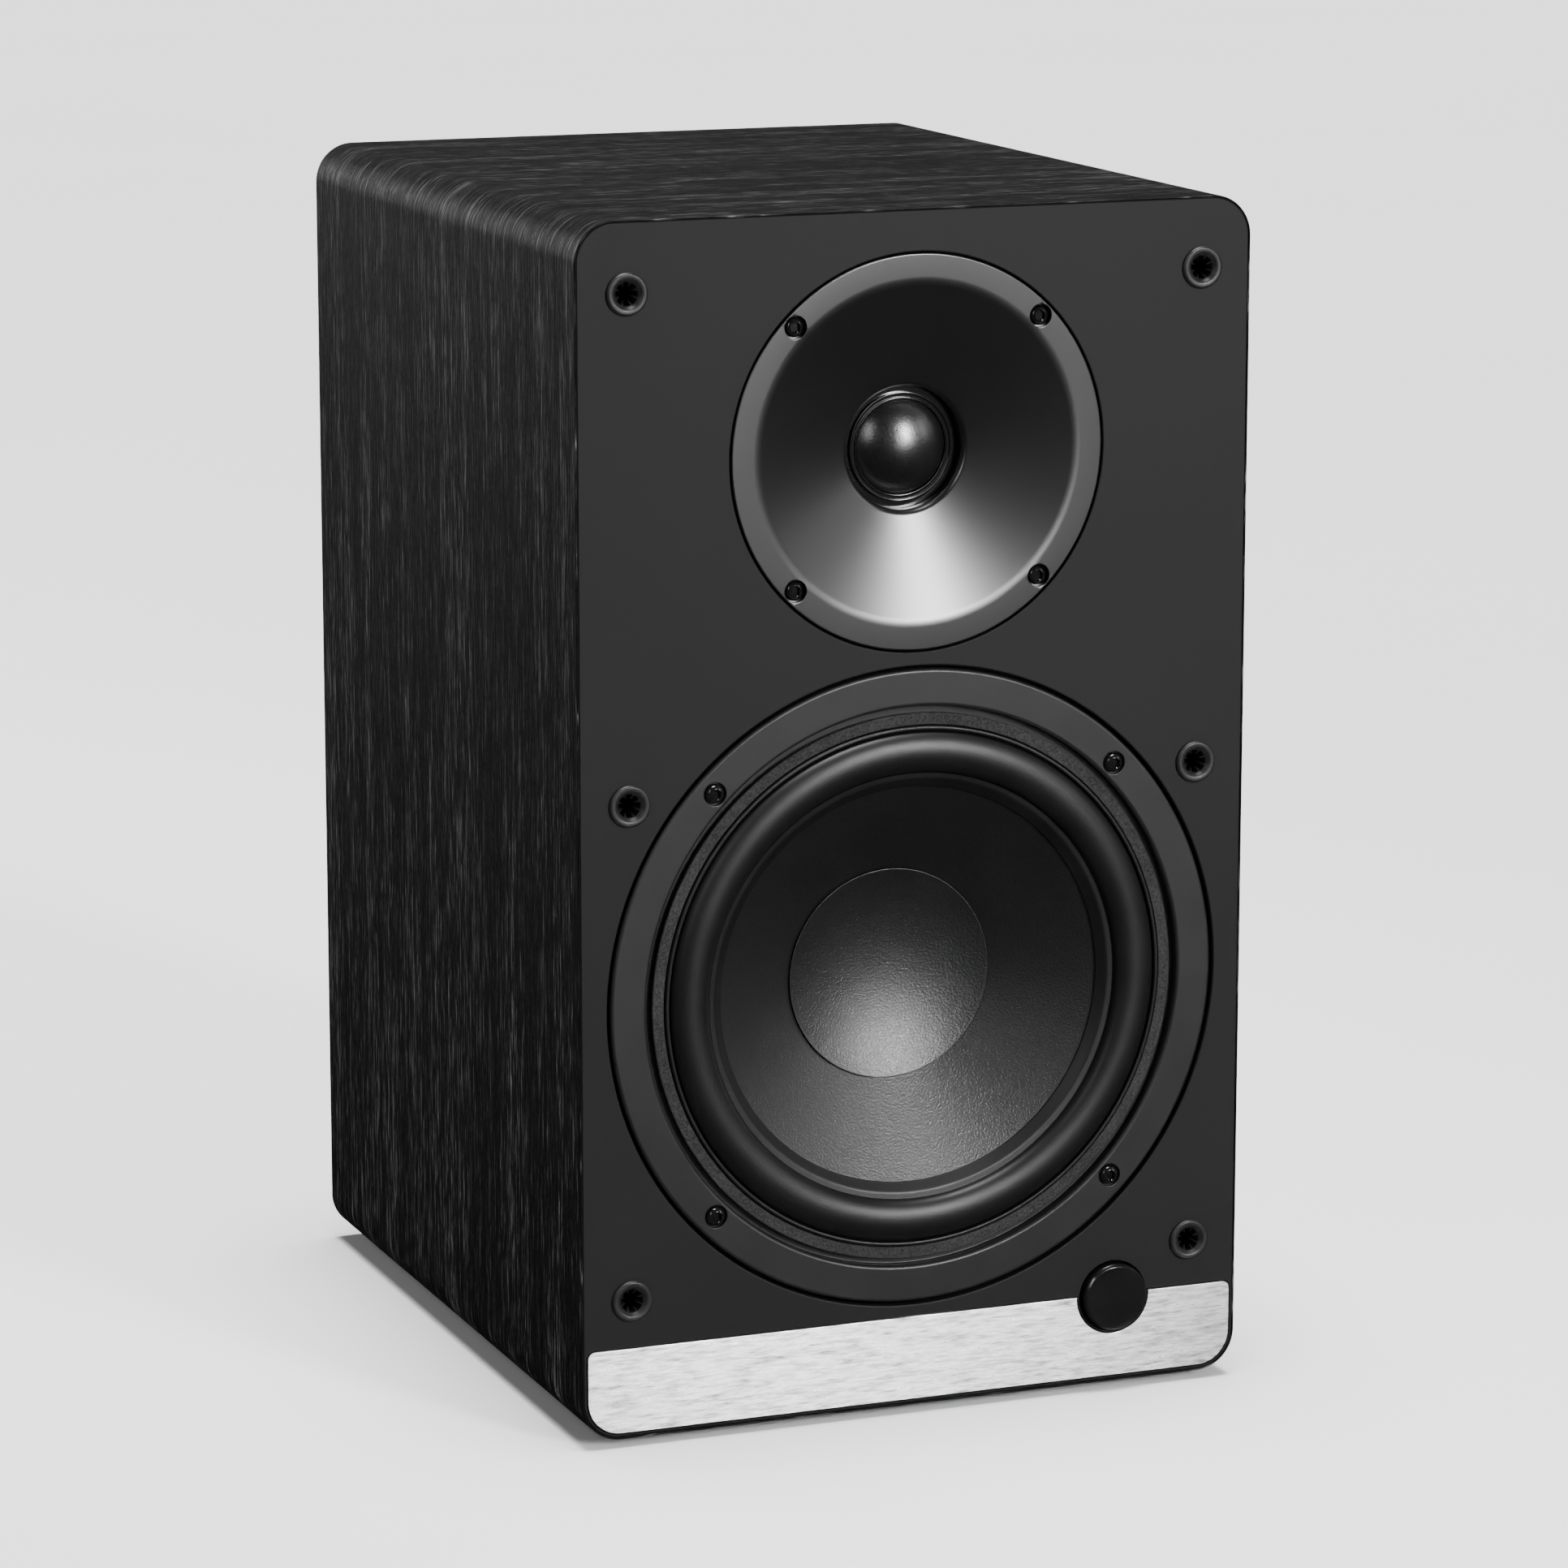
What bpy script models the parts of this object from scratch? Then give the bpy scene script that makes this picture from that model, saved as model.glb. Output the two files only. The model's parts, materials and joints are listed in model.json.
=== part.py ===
"""Powered two-way bookshelf speaker, as the separate pieces that it comes apart into.

X runs along the front from the viewer's left to right, Y from the front to the back, and Z is up.
The floor under the feet is Z = 0, and the origin is under the middle of the whole depth.
"""

import math

import bmesh
import bpy

MM = 0.001
GAP = 0.3 * MM  # left between two pieces that touch

# Cabinet
CABINET_WIDTH = 200 * MM
CABINET_HEIGHT = 340 * MM
CABINET_DEPTH = 234 * MM
CORNER_RADIUS = 11.5 * MM  # of the four long edges
WRAP_THICKNESS = 0.5 * MM
PANEL_THICKNESS = 15 * MM
BAFFLE_THICKNESS = 18 * MM
REAR_PANEL_THICKNESS = 12 * MM
FOOT_HEIGHT = 2.5 * MM
FOOT_RADIUS = 8 * MM
FOOT_INSET = 27 * MM
BUTTON_PROUD = 2.8 * MM
REAR_PROUD = 17 * MM  # how far the knob and the terminals stand out of the back

DEPTH_OVERALL = BUTTON_PROUD + CABINET_DEPTH + REAR_PROUD
FRONT_Y = BUTTON_PROUD - DEPTH_OVERALL / 2
REAR_Y = FRONT_Y + CABINET_DEPTH
BASE_Z = FOOT_HEIGHT
MIDDLE_Z = BASE_Z + CABINET_HEIGHT / 2
PANELS_FRONT_Y = FRONT_Y + BAFFLE_THICKNESS + GAP
HALF_WIDTH = CABINET_WIDTH / 2 - WRAP_THICKNESS - GAP  # to the panels' outer faces
HALF_HEIGHT = CABINET_HEIGHT / 2 - WRAP_THICKNESS - GAP
PANEL_CORNER = CORNER_RADIUS - WRAP_THICKNESS - GAP
INNER_HALF_WIDTH = HALF_WIDTH - PANEL_THICKNESS
INNER_HALF_HEIGHT = HALF_HEIGHT - PANEL_THICKNESS

# Places on the front, measured from the middle of the width and from the cabinet's underside
TWEETER_Z = BASE_Z + 272.5 * MM
WOOFER_Z = BASE_Z + 121.3 * MM
SOCKET_X = 85.1 * MM
SOCKET_ROWS = {"bottom": 39.7 * MM, "middle": 179.9 * MM, "top": 320.1 * MM}
BUTTON_X = 61.4 * MM
BUTTON_Z = BASE_Z + 25.5 * MM
TWEETER_SCREW = 36.3 * MM  # across and up from the tweeter's centre
WOOFER_SCREW = 60 * MM

# Front pieces
TWEETER_REBATE_RADIUS = 55.6 * MM
TWEETER_HOLE_RADIUS = 46 * MM
WOOFER_REBATE_RADIUS = 91.8 * MM
WOOFER_HOLE_RADIUS = 79.2 * MM
FLANGE_DEPTH = 5.2 * MM  # of the woofer's flange
TWEETER_FLANGE_DEPTH = 4 * MM
SOCKET_RADIUS = 5.9 * MM
SOCKET_BODY_RADIUS = 4.4 * MM
SOCKET_BORE = 3.2 * MM
SOCKET_LENGTH = 14 * MM
STRIP_TOP = 26 * MM  # above the cabinet's underside
STRIP_MARGIN = 0.9 * MM
STRIP_THICKNESS = 1 * MM
STRIP_PROUD = 0.3 * MM
STRIP_TOP_RADIUS = 2.2 * MM
BUTTON_RADIUS = 9.7 * MM
BUTTON_CUTOUT_RADIUS = 11.1 * MM
BUTTON_RECESS_RADIUS = 10.4 * MM
BUTTON_RECESS_DEPTH = 4 * MM
BUTTON_STEM_RADIUS = 3.2 * MM
GUIDE_HOLE_RADIUS = 6 * MM
SCREW_HOLE_RADIUS = 1.9 * MM
SCREW_SHANK_RADIUS = 1.5 * MM
SINK_RADIUS = 3.2 * MM

CONE_RADIUS = 60.6 * MM
CONE_EDGE_HEIGHT = -2.95 * MM  # from the front face
CONE_SLOPE = 0.585  # fall per unit of radius, going in
CONE_NECK_RADIUS = 19.7 * MM

# Rear pieces
PLATE_WIDTH = 124 * MM
PLATE_HEIGHT = 196 * MM
PLATE_THICKNESS = 2 * MM
PLATE_LAP = 8 * MM  # that the plate rests on the rear panel, all round
PLATE_CORNER = 4 * MM
PLATE_Z = BASE_Z + 122 * MM
PORT_Z = BASE_Z + 276 * MM
PORT_RADIUS = 21 * MM
PORT_FLANGE_RADIUS = 33 * MM
PORT_WALL = 2.6 * MM
PORT_LENGTH = 112 * MM
KNOB_X = 38 * MM
KNOB_Z = BASE_Z + 194 * MM
SHAFT_RADIUS = 3 * MM
SHAFT_HOLE_RADIUS = 4.6 * MM
SHAFT_END = 14 * MM  # outside the back
RCA_X = (-44 * MM, -26 * MM)
RCA_Z = BASE_Z + 194 * MM
BARREL_RADIUS = 4.15 * MM
BARREL_HOLE_RADIUS = 4.9 * MM
BOARD_DEPTH = 24 * MM  # from the back to the middle of the amplifier board
BOARD_THICKNESS = 1.6 * MM
BOARD_Z = BASE_Z + 178 * MM
TERMINAL_Z = BASE_Z + 128 * MM
TERMINAL_SPACING = 19.05 * MM
TERMINAL_BODY = (39.4 * MM, 16.4 * MM)  # of the part that goes through the plate
INLET_X = -20 * MM
ROCKER_X = 9 * MM
MODULE_X = -8 * MM  # middle of the mains module, which holds the inlet and the switch
MODULE_Z = BASE_Z + 52 * MM
MODULE_BODY = (56 * MM, 22 * MM)
ROCKER_TILT = math.radians(8)
PIVOT_Y = REAR_Y - 1 * MM
PIVOT_PIN_RADIUS = 1.2 * MM
PIVOT_PIN_LENGTH = 16.4 * MM

FRONT_FACING = (math.pi / 2, 0, 0)  # local +Z points out of the front
REAR_FACING = (-math.pi / 2, 0, 0)  # local +Z points out of the back
QUARTER_TURN = math.pi / 2

FINISHES = {
    "painted_baffle": ((0.045, 0.045, 0.047), 0.55, 0),
    "bare_mdf": ((0.35, 0.24, 0.15), 0.85, 0),
    "black_ash_vinyl": ((0.018, 0.018, 0.018), 0.5, 0),
    "brushed_aluminium": ((0.72, 0.72, 0.72), 0.35, 1),
    "black_plastic": ((0.03, 0.03, 0.03), 0.5, 0),
    "satin_grey_plastic": ((0.13, 0.13, 0.13), 0.42, 0),
    "smoked_gloss": ((0.01, 0.01, 0.01), 0.12, 0),
    "black_steel": ((0.035, 0.035, 0.035), 0.4, 0.6),
    "zinc_steel": ((0.55, 0.55, 0.56), 0.4, 1),
    "ferrite": ((0.06, 0.06, 0.065), 0.75, 0),
    "rubber": ((0.02, 0.02, 0.02), 0.6, 0),
    "coated_cone": ((0.06, 0.06, 0.06), 0.55, 0),
    "silk_dome": ((0.02, 0.02, 0.02), 0.4, 0),
    "spider_cloth": ((0.5, 0.33, 0.12), 0.9, 0),
    "coil_copper": ((0.6, 0.27, 0.12), 0.4, 1),
    "circuit_board": ((0.02, 0.12, 0.05), 0.5, 0),
    "gasket_foam": ((0.03, 0.03, 0.03), 0.95, 0),
    "red_plastic": ((0.5, 0.02, 0.02), 0.4, 0),
    "lead_sleeve": ((0.02, 0.02, 0.02), 0.6, 0),
}


# ---------------------------------------------------------------- helpers


def clear_scene():
    for obj in list(bpy.data.objects):
        bpy.data.objects.remove(obj)


def new_collection(name):
    collection = bpy.data.collections.new(name)
    bpy.context.scene.collection.children.link(collection)
    return collection


def new_finish(name):
    colour, roughness, metallic = FINISHES[name]
    material = bpy.data.materials.new(name)
    material.use_nodes = True
    shader = material.node_tree.nodes["Principled BSDF"]
    shader.inputs["Base Color"].default_value = (*colour, 1)
    shader.inputs["Roughness"].default_value = roughness
    shader.inputs["Metallic"].default_value = metallic
    return material


def place(name, data, finish, location=(0, 0, 0), rotation=(0, 0, 0), parent=None):
    """An object of the speaker, or with no finish a tool that only cuts or adds to one."""
    obj = bpy.data.objects.new(name, data)
    if finish is None:
        TOOLS.objects.link(obj)
        obj.hide_render = True
        obj.display_type = "WIRE"
    else:
        PARTS.objects.link(obj)
        if not data.materials:
            data.materials.append(MATERIALS[finish])
    obj.location = location
    obj.rotation_euler = rotation
    obj.parent = parent
    return obj


def anchor(name, location, rotation):
    """An empty that a group of pieces is placed by."""
    empty = bpy.data.objects.new(name, None)
    PARTS.objects.link(empty)
    empty.location = location
    empty.rotation_euler = rotation
    return empty


def turned(name, profile, finish, steps=40, ring=True, **where):
    """A piece turned about its local Z from (radius, height) points, which run clockwise."""
    mesh = bpy.data.meshes.new(name)
    points = [(radius, 0, height) for radius, height in profile]
    edges = [(i, i + 1) for i in range(len(points) - 1)]
    if ring:
        edges.append((len(points) - 1, 0))
    mesh.from_pydata(points, edges, [])
    obj = place(name, mesh, finish, **where)
    screw = obj.modifiers.new("Turn", "SCREW")
    screw.axis = "Z"
    screw.steps = steps
    screw.render_steps = steps
    screw.use_merge_vertices = True
    screw.merge_threshold = 1e-6
    screw.use_smooth_shade = True
    return obj


def tube_profile(inner, outer, top, bottom):
    return [(inner, top), (outer, top), (outer, bottom), (inner, bottom)]


def rod_profile(radius, top, bottom):
    return [(0, top), (radius, top), (radius, bottom), (0, bottom)]


def arc(centre, radius, start, end, segments):
    """Points along an arc, angles in degrees counted from the first axis towards the second."""
    steps = [math.radians(start + (end - start) * i / segments) for i in range(segments + 1)]
    return [(centre[0] + radius * math.cos(a), centre[1] + radius * math.sin(a)) for a in steps]


def rounded_rectangle(width, height, radius, segments=6):
    x = width / 2 - radius
    y = height / 2 - radius
    corners = [((x, y), 0), ((-x, y), 90), ((-x, -y), 180), ((x, -y), 270)]
    return [p for centre, turn in corners for p in arc(centre, radius, turn, turn + 90, segments)]


def circle(centre, radius, segments=32):
    return arc(centre, radius, 0, 360, segments)[:-1]


def mesh_of(obj):
    """The object's evaluated mesh, welded, after which the object is removed."""
    graph = bpy.context.evaluated_depsgraph_get()
    mesh = bpy.data.meshes.new_from_object(obj.evaluated_get(graph))
    mesh.name = obj.name
    bpy.data.objects.remove(obj)
    bm = bmesh.new()
    bm.from_mesh(mesh)
    bmesh.ops.remove_doubles(bm, verts=bm.verts, dist=1e-6)
    bmesh.ops.recalc_face_normals(bm, faces=bm.faces)
    bm.to_mesh(mesh)
    bm.free()
    return mesh


def sheet_mesh(name, outlines, thickness):
    """Flat stock in the local XY plane, centred on it, with every outline after the first a hole."""
    curve = bpy.data.curves.new(name, "CURVE")
    curve.dimensions = "2D"
    curve.fill_mode = "BOTH"
    curve.extrude = thickness / 2
    for outline in outlines:
        spline = curve.splines.new("POLY")
        spline.points.add(len(outline) - 1)
        for point, (x, y) in zip(spline.points, outline):
            point.co = (x, y, 0, 1)
        spline.use_cyclic_u = True
    helper = bpy.data.objects.new(name, curve)
    TOOLS.objects.link(helper)
    return mesh_of(helper)


def sheet(name, outlines, thickness, finish, **where):
    return place(name, sheet_mesh(name, outlines, thickness), finish, **where)


def add_block(bm, size, centre):
    made = bmesh.ops.create_cube(bm, size=1)["verts"]
    bmesh.ops.scale(bm, vec=size, verts=made)
    bmesh.ops.translate(bm, vec=centre, verts=made)


def add_rod(bm, radius, top, bottom, centre=(0, 0), segments=12):
    made = bmesh.ops.create_cone(
        bm, cap_ends=True, segments=segments, radius1=radius, radius2=radius, depth=top - bottom
    )["verts"]
    bmesh.ops.translate(bm, vec=(centre[0], centre[1], (top + bottom) / 2), verts=made)


def solids(name, finish, blocks=(), rods=(), **where):
    """Blocks as (size, centre) and rods along Z as (radius, top, bottom, centre), in one mesh."""
    bm = bmesh.new()
    for size, centre in blocks:
        add_block(bm, size, centre)
    for radius, top, bottom, centre in rods:
        add_rod(bm, radius, top, bottom, centre)
    mesh = bpy.data.meshes.new(name)
    bm.to_mesh(mesh)
    bm.free()
    return place(name, mesh, finish, **where)


def combine(obj, tool, operation="DIFFERENCE"):
    modifier = obj.modifiers.new(operation.title(), "BOOLEAN")
    modifier.operation = operation
    modifier.object = tool
    return obj


# ---------------------------------------------------------------- cabinet


def mitred_outline(half_across, half_along):
    """Section of a panel whose outer face is at x = half_across, with half of each rounded corner."""
    slack = GAP / math.sqrt(2)
    end = math.degrees(math.acos(slack / (PANEL_CORNER * math.sqrt(2)))) - 45
    centre = (half_across - PANEL_CORNER, half_along - PANEL_CORNER)
    upper = arc(centre, PANEL_CORNER, 0, end, 4)
    inner = (half_across - PANEL_THICKNESS, half_along - PANEL_THICKNESS - slack)
    half = [*upper, inner]
    return half + [(x, -y) for x, y in reversed(half)]


def build_panels():
    """Four mitred sides, each a section extruded from the baffle to the back."""
    depth = CABINET_DEPTH - BAFFLE_THICKNESS - GAP
    middle = (0, PANELS_FRONT_Y + depth / 2, MIDDLE_Z)
    upright = mitred_outline(HALF_WIDTH, HALF_HEIGHT)
    level = mitred_outline(HALF_HEIGHT, HALF_WIDTH)
    turns = {
        "right_side_panel": (upright, 0),
        "top_panel": (level, QUARTER_TURN),
        "left_side_panel": (upright, math.pi),
        "bottom_panel": (level, -QUARTER_TURN),
    }
    for name, (outline, turn) in turns.items():
        rotated = [
            (x * math.cos(turn) - y * math.sin(turn), x * math.sin(turn) + y * math.cos(turn))
            for x, y in outline
        ]
        sheet(name, [rotated], depth, "bare_mdf", location=middle, rotation=FRONT_FACING)


def build_wrap():
    outer = rounded_rectangle(CABINET_WIDTH, CABINET_HEIGHT, CORNER_RADIUS, 8)
    inner = rounded_rectangle(
        CABINET_WIDTH - 2 * WRAP_THICKNESS,
        CABINET_HEIGHT - 2 * WRAP_THICKNESS,
        CORNER_RADIUS - WRAP_THICKNESS,
        8,
    )
    middle = (0, FRONT_Y + CABINET_DEPTH / 2, MIDDLE_Z)
    sheet(
        "vinyl_wrap", [outer, inner], CABINET_DEPTH, "black_ash_vinyl",
        location=middle, rotation=FRONT_FACING,
    )


def strip_outline(margin, top, cutout_radius):
    """The strip's outline about the cabinet's middle, with the bite that the button takes out."""
    half = CABINET_WIDTH / 2 - WRAP_THICKNESS - GAP - margin
    bottom = -CABINET_HEIGHT / 2 + WRAP_THICKNESS + GAP + margin
    radius = CORNER_RADIUS - WRAP_THICKNESS - GAP - margin
    left = arc((-half + radius, bottom + radius), radius, 180, 270, 5)
    right = arc((half - radius, bottom + radius), radius, 270, 360, 5)
    top_right = arc((half - STRIP_TOP_RADIUS, top - STRIP_TOP_RADIUS), STRIP_TOP_RADIUS, 0, 90, 3)
    top_left = arc((-half + STRIP_TOP_RADIUS, top - STRIP_TOP_RADIUS), STRIP_TOP_RADIUS, 90, 180, 3)
    centre = (BUTTON_X, BUTTON_Z - MIDDLE_Z)
    rise = math.degrees(math.asin((top - centre[1]) / cutout_radius))
    bite = arc(centre, cutout_radius, rise, -180 - rise, 14)
    return [*left, *right, *top_right, *bite, *top_left]


def driver_cutter(name, rebate_radius, rebate_depth, hole_radius, anchor_empty):
    """Stepped round cutter for a driver: its flange's rebate, then the hole behind."""
    over = 5 * MM
    profile = [
        (0, over),
        (rebate_radius, over),
        (rebate_radius, -rebate_depth - GAP),
        (hole_radius, -rebate_depth - GAP),
        (hole_radius, -BAFFLE_THICKNESS - over),
        (0, -BAFFLE_THICKNESS - over),
    ]
    return turned(name, profile, None, steps=36, ring=False, parent=anchor_empty)


def screw_places(offset):
    return {
        f"{row}_{side}": (x * offset, z * offset)
        for row, z in (("upper", 1), ("lower", -1))
        for side, x in (("left", -1), ("right", 1))
    }


def build_baffle(tweeter, woofer, button):
    outline = rounded_rectangle(2 * HALF_WIDTH, 2 * HALF_HEIGHT, PANEL_CORNER)
    baffle = sheet(
        "front_baffle", [outline], BAFFLE_THICKNESS, "painted_baffle",
        location=(0, FRONT_Y + BAFFLE_THICKNESS / 2, MIDDLE_Z), rotation=FRONT_FACING,
    )
    combine(baffle, driver_cutter(
        "tool_tweeter_hole", TWEETER_REBATE_RADIUS, TWEETER_FLANGE_DEPTH,
        TWEETER_HOLE_RADIUS, tweeter))
    combine(baffle, driver_cutter(
        "tool_woofer_hole", WOOFER_REBATE_RADIUS, FLANGE_DEPTH, WOOFER_HOLE_RADIUS, woofer))
    pocket_depth = STRIP_THICKNESS - STRIP_PROUD + GAP
    over = 2 * MM
    pocket = place(
        "tool_strip_pocket",
        sheet_mesh(
            "tool_strip_pocket",
            [strip_outline(STRIP_MARGIN - GAP, strip_top() + GAP, BUTTON_CUTOUT_RADIUS - GAP)],
            pocket_depth + over,
        ),
        None, location=(0, FRONT_Y + (pocket_depth - over) / 2, MIDDLE_Z), rotation=FRONT_FACING,
    )
    combine(baffle, pocket)
    socket_hole = SOCKET_BODY_RADIUS + GAP
    rods = [
        (socket_hole, over, -BAFFLE_THICKNESS - over, (x, z - MIDDLE_Z))
        for _, x, z in socket_places()
    ]
    for centre_z, offset in ((TWEETER_Z, TWEETER_SCREW), (WOOFER_Z, WOOFER_SCREW)):
        rods += [
            (SCREW_HOLE_RADIUS, over, -BAFFLE_THICKNESS - over, (x, z + centre_z - MIDDLE_Z))
            for x, z in screw_places(offset).values()
        ]
    combine(baffle, solids(
        "tool_baffle_holes", None, rods=rods,
        location=(0, FRONT_Y, MIDDLE_Z), rotation=FRONT_FACING,
    ))
    recess = [
        (0, over),
        (BUTTON_RECESS_RADIUS, over),
        (BUTTON_RECESS_RADIUS, -BUTTON_RECESS_DEPTH),
        (GUIDE_HOLE_RADIUS, -BUTTON_RECESS_DEPTH),
        (GUIDE_HOLE_RADIUS, -BAFFLE_THICKNESS - over),
        (0, -BAFFLE_THICKNESS - over),
    ]
    combine(baffle, turned("tool_button_hole", recess, None, steps=24, ring=False, parent=button))


def strip_top():
    return STRIP_TOP - CABINET_HEIGHT / 2


def build_strip():
    sheet(
        "trim_strip",
        [strip_outline(STRIP_MARGIN, strip_top(), BUTTON_CUTOUT_RADIUS)],
        STRIP_THICKNESS, "brushed_aluminium",
        location=(0, FRONT_Y - STRIP_PROUD + STRIP_THICKNESS / 2, MIDDLE_Z), rotation=FRONT_FACING,
    )


def build_rear_panel():
    width = 2 * (INNER_HALF_WIDTH - GAP)
    height = 2 * (INNER_HALF_HEIGHT - GAP)
    hole_outline = rounded_rectangle(
        PLATE_WIDTH - 2 * PLATE_LAP, PLATE_HEIGHT - 2 * PLATE_LAP, PLATE_CORNER, 3
    )
    hole = [(x, y + PLATE_Z - MIDDLE_Z) for x, y in hole_outline]
    clearance = 0.8 * MM
    port_hole = circle((0, PORT_Z - MIDDLE_Z), PORT_RADIUS + PORT_WALL + clearance, 24)
    panel = sheet(
        "rear_panel", [rounded_rectangle(width, height, 1 * MM, 1), hole, port_hole],
        REAR_PANEL_THICKNESS, "black_ash_vinyl",
        location=(0, REAR_Y - REAR_PANEL_THICKNESS / 2, MIDDLE_Z), rotation=FRONT_FACING,
    )
    over = 2 * MM
    rebate_depth = PLATE_THICKNESS + GAP
    rebate = solids(
        "tool_plate_rebate", None,
        blocks=[(
            (PLATE_WIDTH + 2 * GAP, rebate_depth + over, PLATE_HEIGHT + 2 * GAP),
            (0, REAR_Y + (over - rebate_depth) / 2, PLATE_Z),
        )],
    )
    combine(panel, rebate)


def socket_places():
    return [
        (f"grille_socket_{row}_{side}", sign * SOCKET_X, BASE_Z + height)
        for row, height in SOCKET_ROWS.items()
        for side, sign in (("left", -1), ("right", 1))
    ]


def build_sockets():
    """Flanged cups that the front cover's pegs push into."""
    flange = 0.9 * MM
    floor = -SOCKET_LENGTH + 1.5 * MM
    cup = turned(
        "grille_socket",
        [
            (0, floor),
            (SOCKET_BORE, floor),
            (SOCKET_BORE, GAP),
            (SOCKET_BORE + 1 * MM, flange + GAP),
            (SOCKET_RADIUS - 0.5 * MM, flange + GAP),
            (SOCKET_RADIUS, GAP),
            (SOCKET_BODY_RADIUS, GAP),
            (SOCKET_BODY_RADIUS, -SOCKET_LENGTH),
            (0, -SOCKET_LENGTH),
        ],
        None, steps=14, ring=False,
    )
    shared = mesh_of(cup)
    for name, x, z in socket_places():
        place(name, shared, "black_plastic", location=(x, FRONT_Y, z), rotation=FRONT_FACING)


def build_feet():
    profile = [
        (0, FOOT_HEIGHT - GAP),
        (FOOT_RADIUS, FOOT_HEIGHT - GAP),
        (FOOT_RADIUS - 0.6 * MM, 0),
        (0, 0),
    ]
    shared = mesh_of(turned("foot", profile, None, steps=16, ring=False))
    places = {
        "front": FRONT_Y + FOOT_INSET,
        "rear": REAR_Y - FOOT_INSET,
    }
    for row, y in places.items():
        for side, sign in (("left", -1), ("right", 1)):
            x = sign * (CABINET_WIDTH / 2 - FOOT_INSET)
            place(f"rubber_foot_{row}_{side}", shared, "rubber", location=(x, y, 0))


# ---------------------------------------------------------------- drivers


def build_screws(driver, parent, offset, seat, shank_length):
    """Button-head screws with a hexagon socket, whose heads bear at local height seat."""
    head_radius = 2.8 * MM
    head_height = 1.9 * MM
    head = turned(
        f"{driver}_screw",
        [
            (0, seat + head_height),
            (head_radius * 0.6, seat + head_height),
            (head_radius, seat + head_height * 0.4),
            (head_radius, seat),
            (SCREW_SHANK_RADIUS, seat),
            (SCREW_SHANK_RADIUS, seat - shank_length),
            (0, seat - shank_length - 1 * MM),
        ],
        None, steps=12, ring=False,
    )
    bm = bmesh.new()
    add_rod(bm, 1.45 * MM, seat + head_height + 1 * MM, seat + 0.6 * MM, segments=6)
    key = bpy.data.meshes.new("tool_hex_key")
    bm.to_mesh(key)
    bm.free()
    hexagon = place("tool_hex_key", key, None)
    combine(head, hexagon)
    shared = mesh_of(head)
    bpy.data.objects.remove(hexagon)
    for corner, (x, y) in screw_places(offset).items():
        place(f"{driver}_screw_{corner}", shared, "black_steel", location=(x, y, 0), parent=parent)


def sink_screws(piece, driver, parent, offset, sink):
    """Clearance holes through a flange, each with a counterbore down to local height sink."""
    over = 2 * MM
    for kind, radius, bottom in (("hole", SCREW_HOLE_RADIUS, -8 * MM), ("sink", SINK_RADIUS, sink)):
        rods = [(radius, over, bottom, xy) for xy in screw_places(offset).values()]
        combine(piece, solids(f"tool_{driver}_{kind}s", None, rods=rods, parent=parent))


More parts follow.
